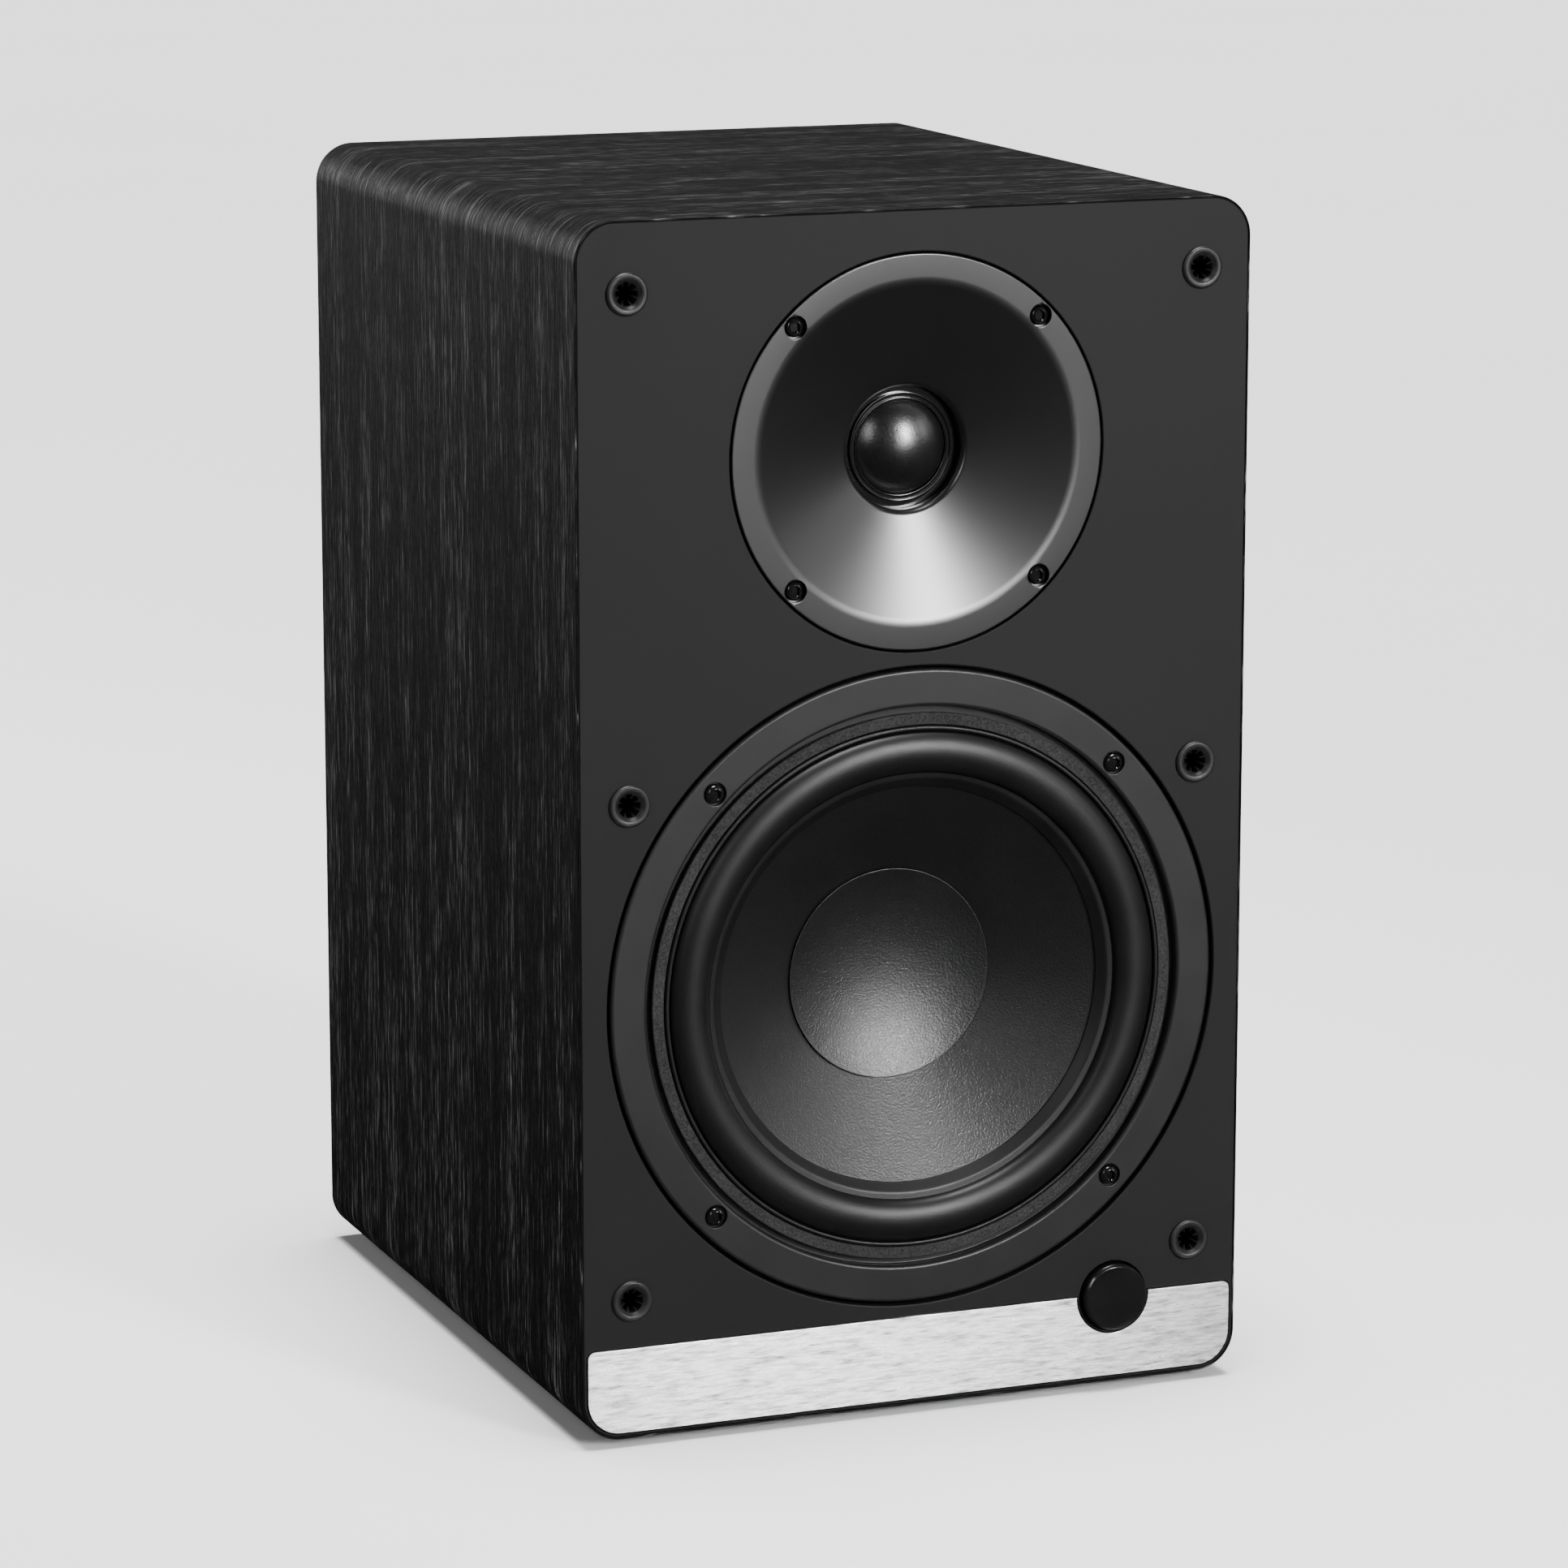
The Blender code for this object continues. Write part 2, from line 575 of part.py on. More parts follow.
def build_tweeter(parent):
    throat = 17.2 * MM
    throat_z = -9.9 * MM
    mouth = 46 * MM
    mouth_z = -1.25 * MM
    seat = 29 * MM
    base_z = -15 * MM
    waveguide = turned(
        "tweeter_waveguide",
        [
            (throat, throat_z),
            (mouth, mouth_z),
            (47.2 * MM, -0.5 * MM),
            (48.8 * MM, 0),
            (54.7 * MM, 0),
            (55.1 * MM, -0.4 * MM),
            (55.1 * MM, -TWEETER_FLANGE_DEPTH),
            (45 * MM, -TWEETER_FLANGE_DEPTH),
            (seat, -10.4 * MM),
            (seat, base_z),
            (20 * MM, base_z),
            (20 * MM, throat_z - 1.5 * MM),
            (throat + 0.2 * MM, throat_z - 0.7 * MM),
        ],
        "satin_grey_plastic", steps=36, parent=parent,
    )
    sink_waveguide = -2.4 * MM
    sink_screws(waveguide, "tweeter", parent, TWEETER_SCREW, sink_waveguide)
    build_screws("tweeter", parent, TWEETER_SCREW, sink_waveguide + GAP, 14 * MM)

    plate_top = base_z - GAP
    plate_bottom = plate_top - 4 * MM
    magnet_top = plate_bottom - GAP
    magnet_bottom = magnet_top - 10 * MM
    yoke_top = magnet_bottom - GAP
    yoke_bottom = yoke_top - 5 * MM
    turned("tweeter_top_plate", tube_profile(13.7 * MM, 34 * MM, plate_top, plate_bottom),
           "zinc_steel", steps=24, parent=parent)
    turned("tweeter_magnet", tube_profile(18 * MM, 36 * MM, magnet_top, magnet_bottom),
           "ferrite", steps=24, parent=parent)
    pole = 12 * MM
    pole_top = plate_top - 0.5 * MM
    yoke_radius = 33 * MM
    turned(
        "tweeter_yoke",
        [
            (0, pole_top),
            (pole, pole_top),
            (pole, yoke_top),
            (yoke_radius, yoke_top),
            (yoke_radius, yoke_bottom),
            (0, yoke_bottom),
        ],
        "zinc_steel", steps=24, ring=False, parent=parent,
    )
    turned(
        "tweeter_dome_ring",
        [
            (13.5 * MM, -12.4 * MM),
            (14 * MM, -12.1 * MM),
            (14.8 * MM, -12.1 * MM),
            (15.3 * MM, -12.5 * MM),
            (15.3 * MM, -14 * MM),
            (19.6 * MM, -14 * MM),
            (19.6 * MM, -14.7 * MM),
            (13.5 * MM, -14.7 * MM),
        ],
        "black_plastic", steps=28, parent=parent,
    )
    rim = 12.9 * MM
    rim_z = -13.9 * MM
    rise = 6 * MM
    ball = (rim ** 2 + rise ** 2) / (2 * rise)
    spread = math.degrees(math.asin(rim / ball))
    skin = 0.4 * MM
    centre = (0, rim_z + rise - ball)
    outer = arc(centre, ball, 90, 90 - spread, 4)
    inner = arc(centre, ball - skin, 90 - spread + 1, 90, 4)
    outer[0] = (0, outer[0][1])
    inner[-1] = (0, inner[-1][1])
    turned("tweeter_dome", outer + inner, "silk_dome", steps=24, ring=False, parent=parent)
    turned("tweeter_voice_coil",
           tube_profile(12.4 * MM, 13.1 * MM, rim_z - 0.9 * MM, rim_z - 7.5 * MM),
           "coil_copper", steps=24, parent=parent)


def build_basket(parent):
    """Frame of the woofer: a flange, a wall with windows and a floor that carries the motor."""
    basket = turned(
        "woofer_basket",
        [
            (80.3 * MM, -0.5 * MM),
            (80.8 * MM, 0),
            (90.3 * MM, 0),
            (90.8 * MM, -0.5 * MM),
            (90.8 * MM, -FLANGE_DEPTH),
            (78.4 * MM, -FLANGE_DEPTH),
            (76.5 * MM, -9 * MM),
            (58.5 * MM, -33 * MM),
            (50 * MM, -42 * MM),
            (22.4 * MM, -42 * MM),
            (22.4 * MM, -39.8 * MM),
            (48.8 * MM, -39.8 * MM),
            (52.8 * MM, -31.8 * MM),
            (56.6 * MM, -31.8 * MM),
            (74.2 * MM, -8.4 * MM),
            (74.2 * MM, -3.4 * MM),
            (80.3 * MM, -3.4 * MM),
        ],
        "black_steel", steps=36, parent=parent,
    )
    window = (30 * MM, 40 * MM, 19 * MM)
    count = 6
    for i in range(count):
        turn = 2 * math.pi * (i + 0.5) / count
        tool = solids(f"tool_basket_window_{i}", None, blocks=[(window, (70 * MM, 0, -20.5 * MM))],
                      rotation=(0, 0, turn), parent=parent)
        combine(basket, tool)
    sink = -1.4 * MM
    sink_screws(basket, "woofer", parent, WOOFER_SCREW, sink)
    build_screws("woofer", parent, WOOFER_SCREW, sink + GAP, 14 * MM)


def cone_height(radius):
    """Local height of the woofer cone's upper face."""
    return CONE_EDGE_HEIGHT - CONE_SLOPE * (CONE_RADIUS - radius)


def build_surround(parent):
    """Half-roll rubber edge between the frame's ledge and the cone."""
    skin = 0.9 * MM
    outer_foot = 73.2 * MM
    inner_foot = 61 * MM
    foot_z = -1.9 * MM
    rise = 3.9 * MM
    centre = (outer_foot + inner_foot) / 2
    half = (outer_foot - inner_foot) / 2
    segments = 6
    turns = [math.pi * (1 - i / segments) for i in range(segments + 1)]
    top = [(centre + half * math.cos(a), foot_z + rise * math.sin(a)) for a in turns]
    under = [
        (centre + (half - skin) * math.cos(a), foot_z - skin + rise * math.sin(a)) for a in turns
    ]
    lip = 56.9 * MM
    lip_under = cone_height(lip) + GAP
    cone_seat = (CONE_RADIUS + 0.2 * MM, cone_height(CONE_RADIUS) + GAP)
    profile = [
        (lip, lip_under + 0.35 * MM),
        *top,
        (78.2 * MM, -2.2 * MM),
        (78.2 * MM, -3.1 * MM),
        *reversed(under),
        cone_seat,
        (lip, lip_under),
    ]
    turned("woofer_surround", profile, "rubber", steps=32, parent=parent)


def build_spider(parent):
    """Corrugated cloth disc that centres the coil."""
    inner = 19.7 * MM
    outer = 55.9 * MM
    skin = 0.5 * MM
    level = -30.9 * MM
    wave = 1 * MM
    count = 6
    radii = [inner + (outer - 5 * MM - inner) * i / count for i in range(count + 1)]
    top = [(r, level + wave * (i % 2)) for i, r in enumerate(radii)] + [(outer, level)]
    under = [(r, z - skin) for r, z in reversed(top)]
    turned("woofer_spider", top + under, "spider_cloth", steps=24, parent=parent)


def build_woofer(parent):
    build_basket(parent)
    build_surround(parent)
    build_spider(parent)
    turned("woofer_gasket", tube_profile(74.9 * MM, 78.3 * MM, -0.9 * MM, -1.8 * MM),
           "gasket_foam", steps=32, parent=parent)

    neck_z = cone_height(CONE_NECK_RADIUS)
    skin = 1 * MM
    turned(
        "woofer_cone",
        [
            (CONE_NECK_RADIUS, neck_z),
            (CONE_RADIUS, CONE_EDGE_HEIGHT),
            (CONE_RADIUS, CONE_EDGE_HEIGHT - skin),
            (CONE_NECK_RADIUS, neck_z - skin),
        ],
        "coated_cone", steps=32, parent=parent,
    )
    rim = 30.3 * MM
    rim_z = cone_height(rim) + 0.9 * MM
    dip = 6 * MM
    ball = (rim ** 2 + dip ** 2) / (2 * dip)
    spread = math.degrees(math.asin(rim / ball))
    centre = (0, rim_z - dip + ball)
    top = arc(centre, ball, 270, 270 + spread, 3)
    under = arc(centre, ball + 0.6 * MM, 270 + spread - 0.3, 270, 3)
    top[0] = (0, top[0][1])
    under[-1] = (0, under[-1][1])
    turned("woofer_dust_cap", top + under, "coated_cone", steps=32, ring=False, parent=parent)

    build_woofer_motor(parent, neck_z)


def build_woofer_motor(parent, neck_z):
    """Coil on its former, and the plate, magnet and vented yoke round it."""
    bore = 18.7 * MM
    former = 19.2 * MM
    winding = 20.2 * MM
    winding_top = -44.5 * MM
    winding_bottom = -56.5 * MM
    former_top = neck_z + 1 * MM
    turned(
        "woofer_voice_coil",
        [
            (bore, former_top),
            (former, former_top),
            (former, winding_top),
            (winding, winding_top),
            (winding, winding_bottom),
            (bore, winding_bottom),
        ],
        "coil_copper", steps=24, parent=parent,
    )
    plate_top = -42.3 * MM
    plate_bottom = plate_top - 6 * MM
    magnet_top = plate_bottom - GAP
    magnet_bottom = magnet_top - 18 * MM
    yoke_top = magnet_bottom - GAP
    yoke_bottom = yoke_top - 8 * MM
    turned("woofer_top_plate", tube_profile(21 * MM, 46 * MM, plate_top, plate_bottom),
           "zinc_steel", steps=24, parent=parent)
    turned("woofer_magnet", tube_profile(27 * MM, 50 * MM, magnet_top, magnet_bottom),
           "ferrite", steps=24, parent=parent)
    vent = 5 * MM
    pole = 18.1 * MM
    pole_top = -41 * MM
    yoke_radius = 47 * MM
    turned(
        "woofer_yoke",
        [
            (vent, pole_top),
            (pole, pole_top),
            (pole, yoke_top),
            (yoke_radius, yoke_top),
            (yoke_radius, yoke_bottom),
            (vent, yoke_bottom),
        ],
        "zinc_steel", steps=24, parent=parent,
    )


# ---------------------------------------------------------------- front button


def build_button(parent):
    cap_bottom = -1.8 * MM
    stem_bottom = -BAFFLE_THICKNESS - 1.6 * MM
    chamfer = 0.8 * MM
    turned(
        "front_button",
        [
            (0, BUTTON_PROUD),
            (BUTTON_RADIUS - chamfer, BUTTON_PROUD),
            (BUTTON_RADIUS, BUTTON_PROUD - chamfer),
            (BUTTON_RADIUS, cap_bottom),
            (BUTTON_STEM_RADIUS, cap_bottom),
            (BUTTON_STEM_RADIUS, stem_bottom),
            (0, stem_bottom),
        ],
        "smoked_gloss", steps=28, ring=False, parent=parent,
    )
    bore = BUTTON_STEM_RADIUS + 0.4 * MM
    turned(
        "button_guide",
        tube_profile(bore, GUIDE_HOLE_RADIUS - GAP, -BUTTON_RECESS_DEPTH, -BAFFLE_THICKNESS),
        "black_plastic", steps=20, parent=parent,
    )
    board_top = -BAFFLE_THICKNESS - 6.2 * MM
    board = (30 * MM, 18 * MM, 1.6 * MM)
    button_board = solids("button_board", "circuit_board",
                          blocks=[(board, (0, 0, board_top - board[2] / 2))], parent=parent)
    overlap = 0.4 * MM
    parts = {
        "tool_switch": ((6 * MM, 6 * MM), (0, 0), 3.3 * MM),
        "tool_receiver": ((5 * MM, 4 * MM), (9 * MM, 3 * MM), 3.4 * MM),
    }
    for name, ((width, depth), (x, y), height) in parts.items():
        size = (width, depth, height + overlap)
        centre = (x, y, board_top + (height - overlap) / 2)
        combine(button_board, solids(name, None, blocks=[(size, centre)], parent=parent), "UNION")


# ---------------------------------------------------------------- rear


def build_amplifier_plate():
    """The plate with a hole for each control and connector."""
    outline = rounded_rectangle(PLATE_WIDTH, PLATE_HEIGHT, PLATE_CORNER, 3)

    def at(points, x, z):
        return [(px + x, pz + z - PLATE_Z) for px, pz in points]

    holes = [at(circle((0, 0), SHAFT_HOLE_RADIUS, 16), KNOB_X, KNOB_Z)]
    holes += [at(circle((0, 0), BARREL_HOLE_RADIUS, 16), x, RCA_Z) for x in RCA_X]
    for (width, height), x, z in (
        (TERMINAL_BODY, 0, TERMINAL_Z),
        (MODULE_BODY, MODULE_X, MODULE_Z),
    ):
        hole = rounded_rectangle(width + 2 * GAP, height + 2 * GAP, GAP, 1)
        holes.append(at(hole, x, z))
    sheet("amplifier_plate", [outline, *holes], PLATE_THICKNESS, "black_steel",
          location=(0, REAR_Y - PLATE_THICKNESS / 2, PLATE_Z), rotation=FRONT_FACING)


def build_amplifier_board():
    """Board behind the plate, with its heat sink, transformer, capacitors and volume control."""
    board_y = REAR_Y - BOARD_DEPTH
    board = solids(
        "amplifier_board", "circuit_board",
        blocks=[((100 * MM, BOARD_THICKNESS, 62 * MM), (0, board_y, BOARD_Z))],
    )
    overlap = 0.4 * MM
    front = board_y - BOARD_THICKNESS / 2 + overlap
    back = board_y + BOARD_THICKNESS / 2 - overlap
    reach = 22 * MM

    def inward(width, depth, height, x, z):
        return ((width, depth, height), (x, front - depth / 2, BASE_Z + z))

    blocks = {
        "tool_heat_sink": inward(70 * MM, reach, 14 * MM, 0, 200 * MM),
        "tool_transformer": inward(36 * MM, 30 * MM, 32 * MM, 28 * MM, 166 * MM),
        "tool_volume_body": (
            (14 * MM, 12 * MM, 14 * MM),
            (KNOB_X, back + 6 * MM, KNOB_Z),
        ),
    }
    for name, (size, centre) in blocks.items():
        combine(board, solids(name, None, blocks=[(size, centre)]), "UNION")
    rods = [
        (7 * MM, 25 * MM, -overlap, (x, 0)) for x in (-38 * MM, -20 * MM)
    ]
    combine(board, solids(
        "tool_capacitors", None, rods=rods,
        location=(0, board_y - BOARD_THICKNESS / 2, BASE_Z + 166 * MM), rotation=FRONT_FACING,
    ), "UNION")
    spacers = [
        (2.5 * MM, -PLATE_THICKNESS - GAP, -BOARD_DEPTH, (x, z))
        for x in (-46 * MM, 46 * MM)
        for z in (-27 * MM, 27 * MM)
    ]
    combine(board, solids(
        "tool_board_spacers", None, rods=spacers,
        location=(0, REAR_Y, BOARD_Z), rotation=REAR_FACING,
    ), "UNION")
    shaft_start = -14 * MM
    combine(board, solids(
        "tool_volume_shaft", None,
        rods=[(SHAFT_RADIUS, SHAFT_END, shaft_start, (0, 0))],
        location=(KNOB_X, REAR_Y, KNOB_Z), rotation=REAR_FACING,
    ), "UNION")


def build_knob():
    """Hollow knob over the volume shaft."""
    top = REAR_PROUD
    bottom = 1.2 * MM
    bore = SHAFT_RADIUS + GAP
    bore_end = SHAFT_END + GAP
    turned(
        "volume_knob",
        [
            (0, top),
            (9.4 * MM, top),
            (10.4 * MM, top - 1 * MM),
            (11 * MM, bottom),
            (bore, bottom),
            (bore, bore_end),
            (0, bore_end),
        ],
        "black_plastic", steps=28, ring=False,
        location=(KNOB_X, REAR_Y, KNOB_Z), rotation=REAR_FACING,
    )


def build_input_sockets():
    """Two coaxial sockets on one block behind the plate."""
    centre_x = sum(RCA_X) / 2
    depth = BOARD_DEPTH - BOARD_THICKNESS / 2 - PLATE_THICKNESS - 2 * GAP
    middle_y = REAR_Y - PLATE_THICKNESS - GAP - depth / 2
    block = solids(
        "input_sockets", "black_plastic",
        blocks=[((32 * MM, depth, 15 * MM), (centre_x, middle_y, RCA_Z))],
    )
    for x in RCA_X:
        barrel = turned(
            f"tool_barrel_{len(TOOLS.objects)}",
            rod_profile(BARREL_RADIUS, 9 * MM, -6 * MM),
            None, steps=16, ring=False, location=(x, REAR_Y, RCA_Z), rotation=REAR_FACING,
        )
        combine(block, barrel, "UNION")
    for x in RCA_X:
        bore = turned(
            f"tool_bore_{len(TOOLS.objects)}",
            rod_profile(1.7 * MM, 10 * MM, -8 * MM),
            None, steps=12, ring=False, location=(x, REAR_Y, RCA_Z), rotation=REAR_FACING,
        )
        combine(block, bore)


def build_terminals():
    """Insulating block with two posts, and on each post a washer and a screw cap."""
    flange = 1.6 * MM
    block = solids(
        "speaker_terminals", "black_plastic",
        blocks=[
            ((46 * MM, flange, 23 * MM), (0, REAR_Y + GAP + flange / 2, TERMINAL_Z)),
        ],
    )
    width, height = TERMINAL_BODY
    depth = 14 * MM
    combine(block, solids(
        "tool_terminal_body", None,
        blocks=[((width, depth, height), (0, REAR_Y + 1 * MM - depth / 2, TERMINAL_Z))],
    ), "UNION")
    post_end = REAR_PROUD - 3.4 * MM
    post_radius = 3.1 * MM
    post_bore = 2.1 * MM
    ring_bore = 3.5 * MM
    cap_top = REAR_PROUD - 3.2 * MM
    cap_radius = 6.6 * MM
    cap_chamfer = 0.6 * MM
    face = flange + GAP
    for colour, sign in (("black", -1), ("red", 1)):
        at = dict(location=(sign * TERMINAL_SPACING / 2, REAR_Y, TERMINAL_Z), rotation=REAR_FACING)
        post = turned(
            f"tool_post_{colour}",
            [
                (0, -4 * MM),
                (post_bore, -4 * MM),
                (post_bore, post_end),
                (post_radius, post_end),
                (post_radius, -6 * MM),
                (0, -6 * MM),
            ],
            None, steps=16, ring=False, **at,
        )
        bore = turned(f"tool_post_bore_{colour}", rod_profile(post_bore, post_end + 1 * MM, -4 * MM),
                      None, steps=16, ring=False, **at)
        combine(block, post, "UNION")
        combine(block, bore)
        washer_top = face + 1.6 * MM
        turned(f"terminal_washer_{colour}",
               tube_profile(ring_bore, 6.2 * MM, washer_top, face + GAP),
               "zinc_steel", steps=16, **at)
        turned(
            f"terminal_cap_{colour}",
            [
                (ring_bore, cap_top),
                (cap_radius - cap_chamfer, cap_top),
                (cap_radius, cap_top - cap_chamfer),
                (cap_radius, washer_top + GAP),
                (ring_bore, washer_top + GAP),
            ],
            f"{colour}_plastic", steps=16, **at,
        )


def build_mains_module():
    """Moulding with the mains inlet and the well of the rocker switch."""
    flange = 1.8 * MM
    module = solids(
        "mains_inlet", "black_plastic",
        blocks=[((62 * MM, flange, 28 * MM), (MODULE_X, REAR_Y + GAP + flange / 2, MODULE_Z))],
    )
    width, height = MODULE_BODY
    depth = 24 * MM
    combine(module, solids(
        "tool_module_body", None,
        blocks=[((width, depth, height), (MODULE_X, REAR_Y + 1 * MM - depth / 2, MODULE_Z))],
    ), "UNION")
    recess = place(
        "tool_inlet_recess",
        sheet_mesh(
            "tool_inlet_recess",
            [[(-12 * MM, -8 * MM), (12 * MM, -8 * MM), (12 * MM, 4 * MM), (8 * MM, 8 * MM),
              (-8 * MM, 8 * MM), (-12 * MM, 4 * MM)]],
            20 * MM,
        ),
        None, location=(INLET_X, REAR_Y - 5 * MM, MODULE_Z), rotation=FRONT_FACING,
    )
    combine(module, recess)
    combine(module, solids(
        "tool_rocker_well", None,
        blocks=[((13.8 * MM, 20 * MM, 20 * MM), (ROCKER_X, REAR_Y - 5 * MM, MODULE_Z))],
    ))
    seat_half = PIVOT_PIN_LENGTH / 2 + GAP
    combine(module, solids(
        "tool_pivot_seats", None,
        rods=[(PIVOT_PIN_RADIUS + GAP, seat_half, -seat_half, (0, 0))],
        location=(ROCKER_X, PIVOT_Y, MODULE_Z), rotation=(0, QUARTER_TURN, 0),
    ))
    pin_size = (2 * MM, 13 * MM, 4 * MM)
    pins = {"left": (-7 * MM, -1 * MM), "right": (7 * MM, -1 * MM), "earth": (0, 3 * MM)}
    for name, (x, z) in pins.items():
        combine(module, solids(
            f"tool_pin_{name}", None,
            blocks=[(pin_size, (INLET_X + x, REAR_Y - 9.5 * MM, MODULE_Z + z))],
        ), "UNION")


def build_rocker():
    """Power switch rocker, whose origin is on its hinge and which rests tipped to off."""
    outline = [
        (-9 * MM, 4 * MM), (-9 * MM, -1 * MM), (-3 * MM, -5 * MM), (3 * MM, -5 * MM),
        (9 * MM, -1 * MM), (9 * MM, 4 * MM), (0, 2.6 * MM),
    ]
    mesh = sheet_mesh("power_rocker", [outline], 13 * MM)
    pivot = anchor("rocker_pivot", (ROCKER_X, PIVOT_Y, MODULE_Z), (ROCKER_TILT, 0, 0))
    rocker = place("power_rocker", mesh, "black_plastic",
                   rotation=(0, -QUARTER_TURN, 0), parent=pivot)
    half = PIVOT_PIN_LENGTH / 2
    combine(rocker, solids("tool_rocker_pin", None, rods=[(PIVOT_PIN_RADIUS, half, -half, (0, 0))],
                           rotation=(0, QUARTER_TURN, 0), parent=pivot), "UNION")


def build_port():
    """Flared bass-reflex tube through the rear panel."""
    flare = 7 * MM
    flange = 2.4 * MM
    outer = PORT_RADIUS + PORT_WALL
    throat = arc((PORT_RADIUS + flare, flange - flare), flare, 180, 90, 3)
    inner_end = -PORT_LENGTH
    turned(
        "port_tube",
        [
            (PORT_RADIUS, inner_end),
            *throat,
            (PORT_FLANGE_RADIUS - 0.8 * MM, flange),
            (PORT_FLANGE_RADIUS, flange - 0.8 * MM),
            (PORT_FLANGE_RADIUS, GAP),
            (outer, GAP),
            (outer, inner_end),
        ],
        "black_plastic", steps=28, location=(0, REAR_Y, PORT_Z), rotation=REAR_FACING,
    )


def build_lead(name, route):
    """A two-core lead inside the cabinet, along a smooth curve through its route."""
    curve = bpy.data.curves.new(name, "CURVE")
    curve.dimensions = "3D"
    curve.bevel_depth = 1.8 * MM
    curve.bevel_resolution = 1
    curve.resolution_u = 5
    curve.use_fill_caps = True
    spline = curve.splines.new("BEZIER")
    spline.bezier_points.add(len(route) - 1)
    for point, where in zip(spline.bezier_points, route):
        point.co = where
        point.handle_left_type = "AUTO"
        point.handle_right_type = "AUTO"
    place(name, curve, "lead_sleeve")


def build_leads():
    start_y = REAR_Y - 30 * MM
    build_lead("woofer_lead", [
        (64 * MM, start_y, BASE_Z + 140 * MM),
        (66 * MM, start_y - 30 * MM, BASE_Z + 128 * MM),
        (66 * MM, FRONT_Y + 110 * MM, BASE_Z + 122 * MM),
        (64 * MM, FRONT_Y + 80 * MM, BASE_Z + 121 * MM),
        (60 * MM, FRONT_Y + 52 * MM, BASE_Z + 121 * MM),
    ])
    build_lead("tweeter_lead", [
        (-62 * MM, start_y, BASE_Z + 190 * MM),
        (-66 * MM, start_y - 36 * MM, BASE_Z + 205 * MM),
        (-64 * MM, FRONT_Y + 110 * MM, BASE_Z + 236 * MM),
        (-54 * MM, FRONT_Y + 70 * MM, BASE_Z + 260 * MM),
        (-38 * MM, FRONT_Y + 38 * MM, BASE_Z + 270 * MM),
    ])


def main():
    tweeter = anchor("tweeter_axis", (0, FRONT_Y, TWEETER_Z), FRONT_FACING)
    woofer = anchor("woofer_axis", (0, FRONT_Y, WOOFER_Z), FRONT_FACING)
    button = anchor("button_axis", (BUTTON_X, FRONT_Y, BUTTON_Z), FRONT_FACING)
    build_baffle(tweeter, woofer, button)
    build_panels()
    build_rear_panel()
    build_wrap()
    build_strip()
    build_sockets()
    build_feet()
    build_tweeter(tweeter)
    build_woofer(woofer)
    build_button(button)
    build_amplifier_plate()
    build_amplifier_board()
    build_knob()
    build_input_sockets()
    build_terminals()
    build_mains_module()
    build_rocker()
    build_port()
    build_leads()


clear_scene()
PARTS = new_collection("bookshelf_speaker")
TOOLS = new_collection("cutters")
MATERIALS = {name: new_finish(name) for name in FINISHES}
main()
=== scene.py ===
"""Looks of the powered bookshelf speaker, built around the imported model.

Places start from the frame's own boxes. The turned profiles are in millimetres, written as (radius, height)
or (radius, height, rounding), with heights counted outwards from the face that the piece is set in. Feature
counts of the textures are per metre.
"""

import json
import math

import bmesh
import bpy
from mathutils import Matrix, Vector

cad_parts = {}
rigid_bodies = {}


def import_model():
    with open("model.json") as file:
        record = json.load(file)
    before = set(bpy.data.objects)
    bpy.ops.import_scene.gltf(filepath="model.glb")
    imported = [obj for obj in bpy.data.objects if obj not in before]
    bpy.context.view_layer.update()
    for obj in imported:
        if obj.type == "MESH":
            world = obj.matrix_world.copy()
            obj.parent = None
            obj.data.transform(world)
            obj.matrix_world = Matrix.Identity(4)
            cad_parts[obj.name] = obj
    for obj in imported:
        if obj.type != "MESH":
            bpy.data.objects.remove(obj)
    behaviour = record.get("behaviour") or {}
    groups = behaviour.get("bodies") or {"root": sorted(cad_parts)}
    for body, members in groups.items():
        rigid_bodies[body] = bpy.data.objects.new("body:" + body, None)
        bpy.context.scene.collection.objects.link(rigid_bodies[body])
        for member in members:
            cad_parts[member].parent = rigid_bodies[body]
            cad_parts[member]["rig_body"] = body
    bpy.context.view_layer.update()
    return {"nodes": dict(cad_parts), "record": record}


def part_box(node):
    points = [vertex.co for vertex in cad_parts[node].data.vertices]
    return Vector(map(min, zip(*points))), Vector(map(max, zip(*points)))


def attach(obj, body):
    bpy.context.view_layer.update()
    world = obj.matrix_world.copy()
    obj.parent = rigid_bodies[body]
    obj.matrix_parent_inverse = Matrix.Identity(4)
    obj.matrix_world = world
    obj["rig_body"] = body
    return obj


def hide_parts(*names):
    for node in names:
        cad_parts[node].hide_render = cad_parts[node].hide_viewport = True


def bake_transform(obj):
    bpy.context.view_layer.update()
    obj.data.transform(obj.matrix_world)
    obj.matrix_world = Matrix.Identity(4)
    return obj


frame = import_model()

MM = 0.001
TURN = 2 * math.pi
ROOT = "cabinet"


# ---------------------------------------------------------------- places from the frame


def middle(node):
    low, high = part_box(node)
    return (low + high) / 2


CABINET_LOW, CABINET_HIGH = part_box("vinyl_wrap")
FRONT_Y = CABINET_LOW.y
REAR_Y = CABINET_HIGH.y
CABINET_MIDDLE = (CABINET_LOW + CABINET_HIGH) / 2
CABINET_SIZE = CABINET_HIGH - CABINET_LOW
CORNER_RADIUS = 11.5 * MM
WRAP = 0.5 * MM  # thickness of the vinyl skin
GAP = 0.3 * MM  # what touching CAD parts keep between them
SEAM = 0.06 * MM  # what is left to see between the skin and the front board
CUTTER_TOP, CUTTER_END = 6, -26  # mm: heights where the cutters of the front board start and end


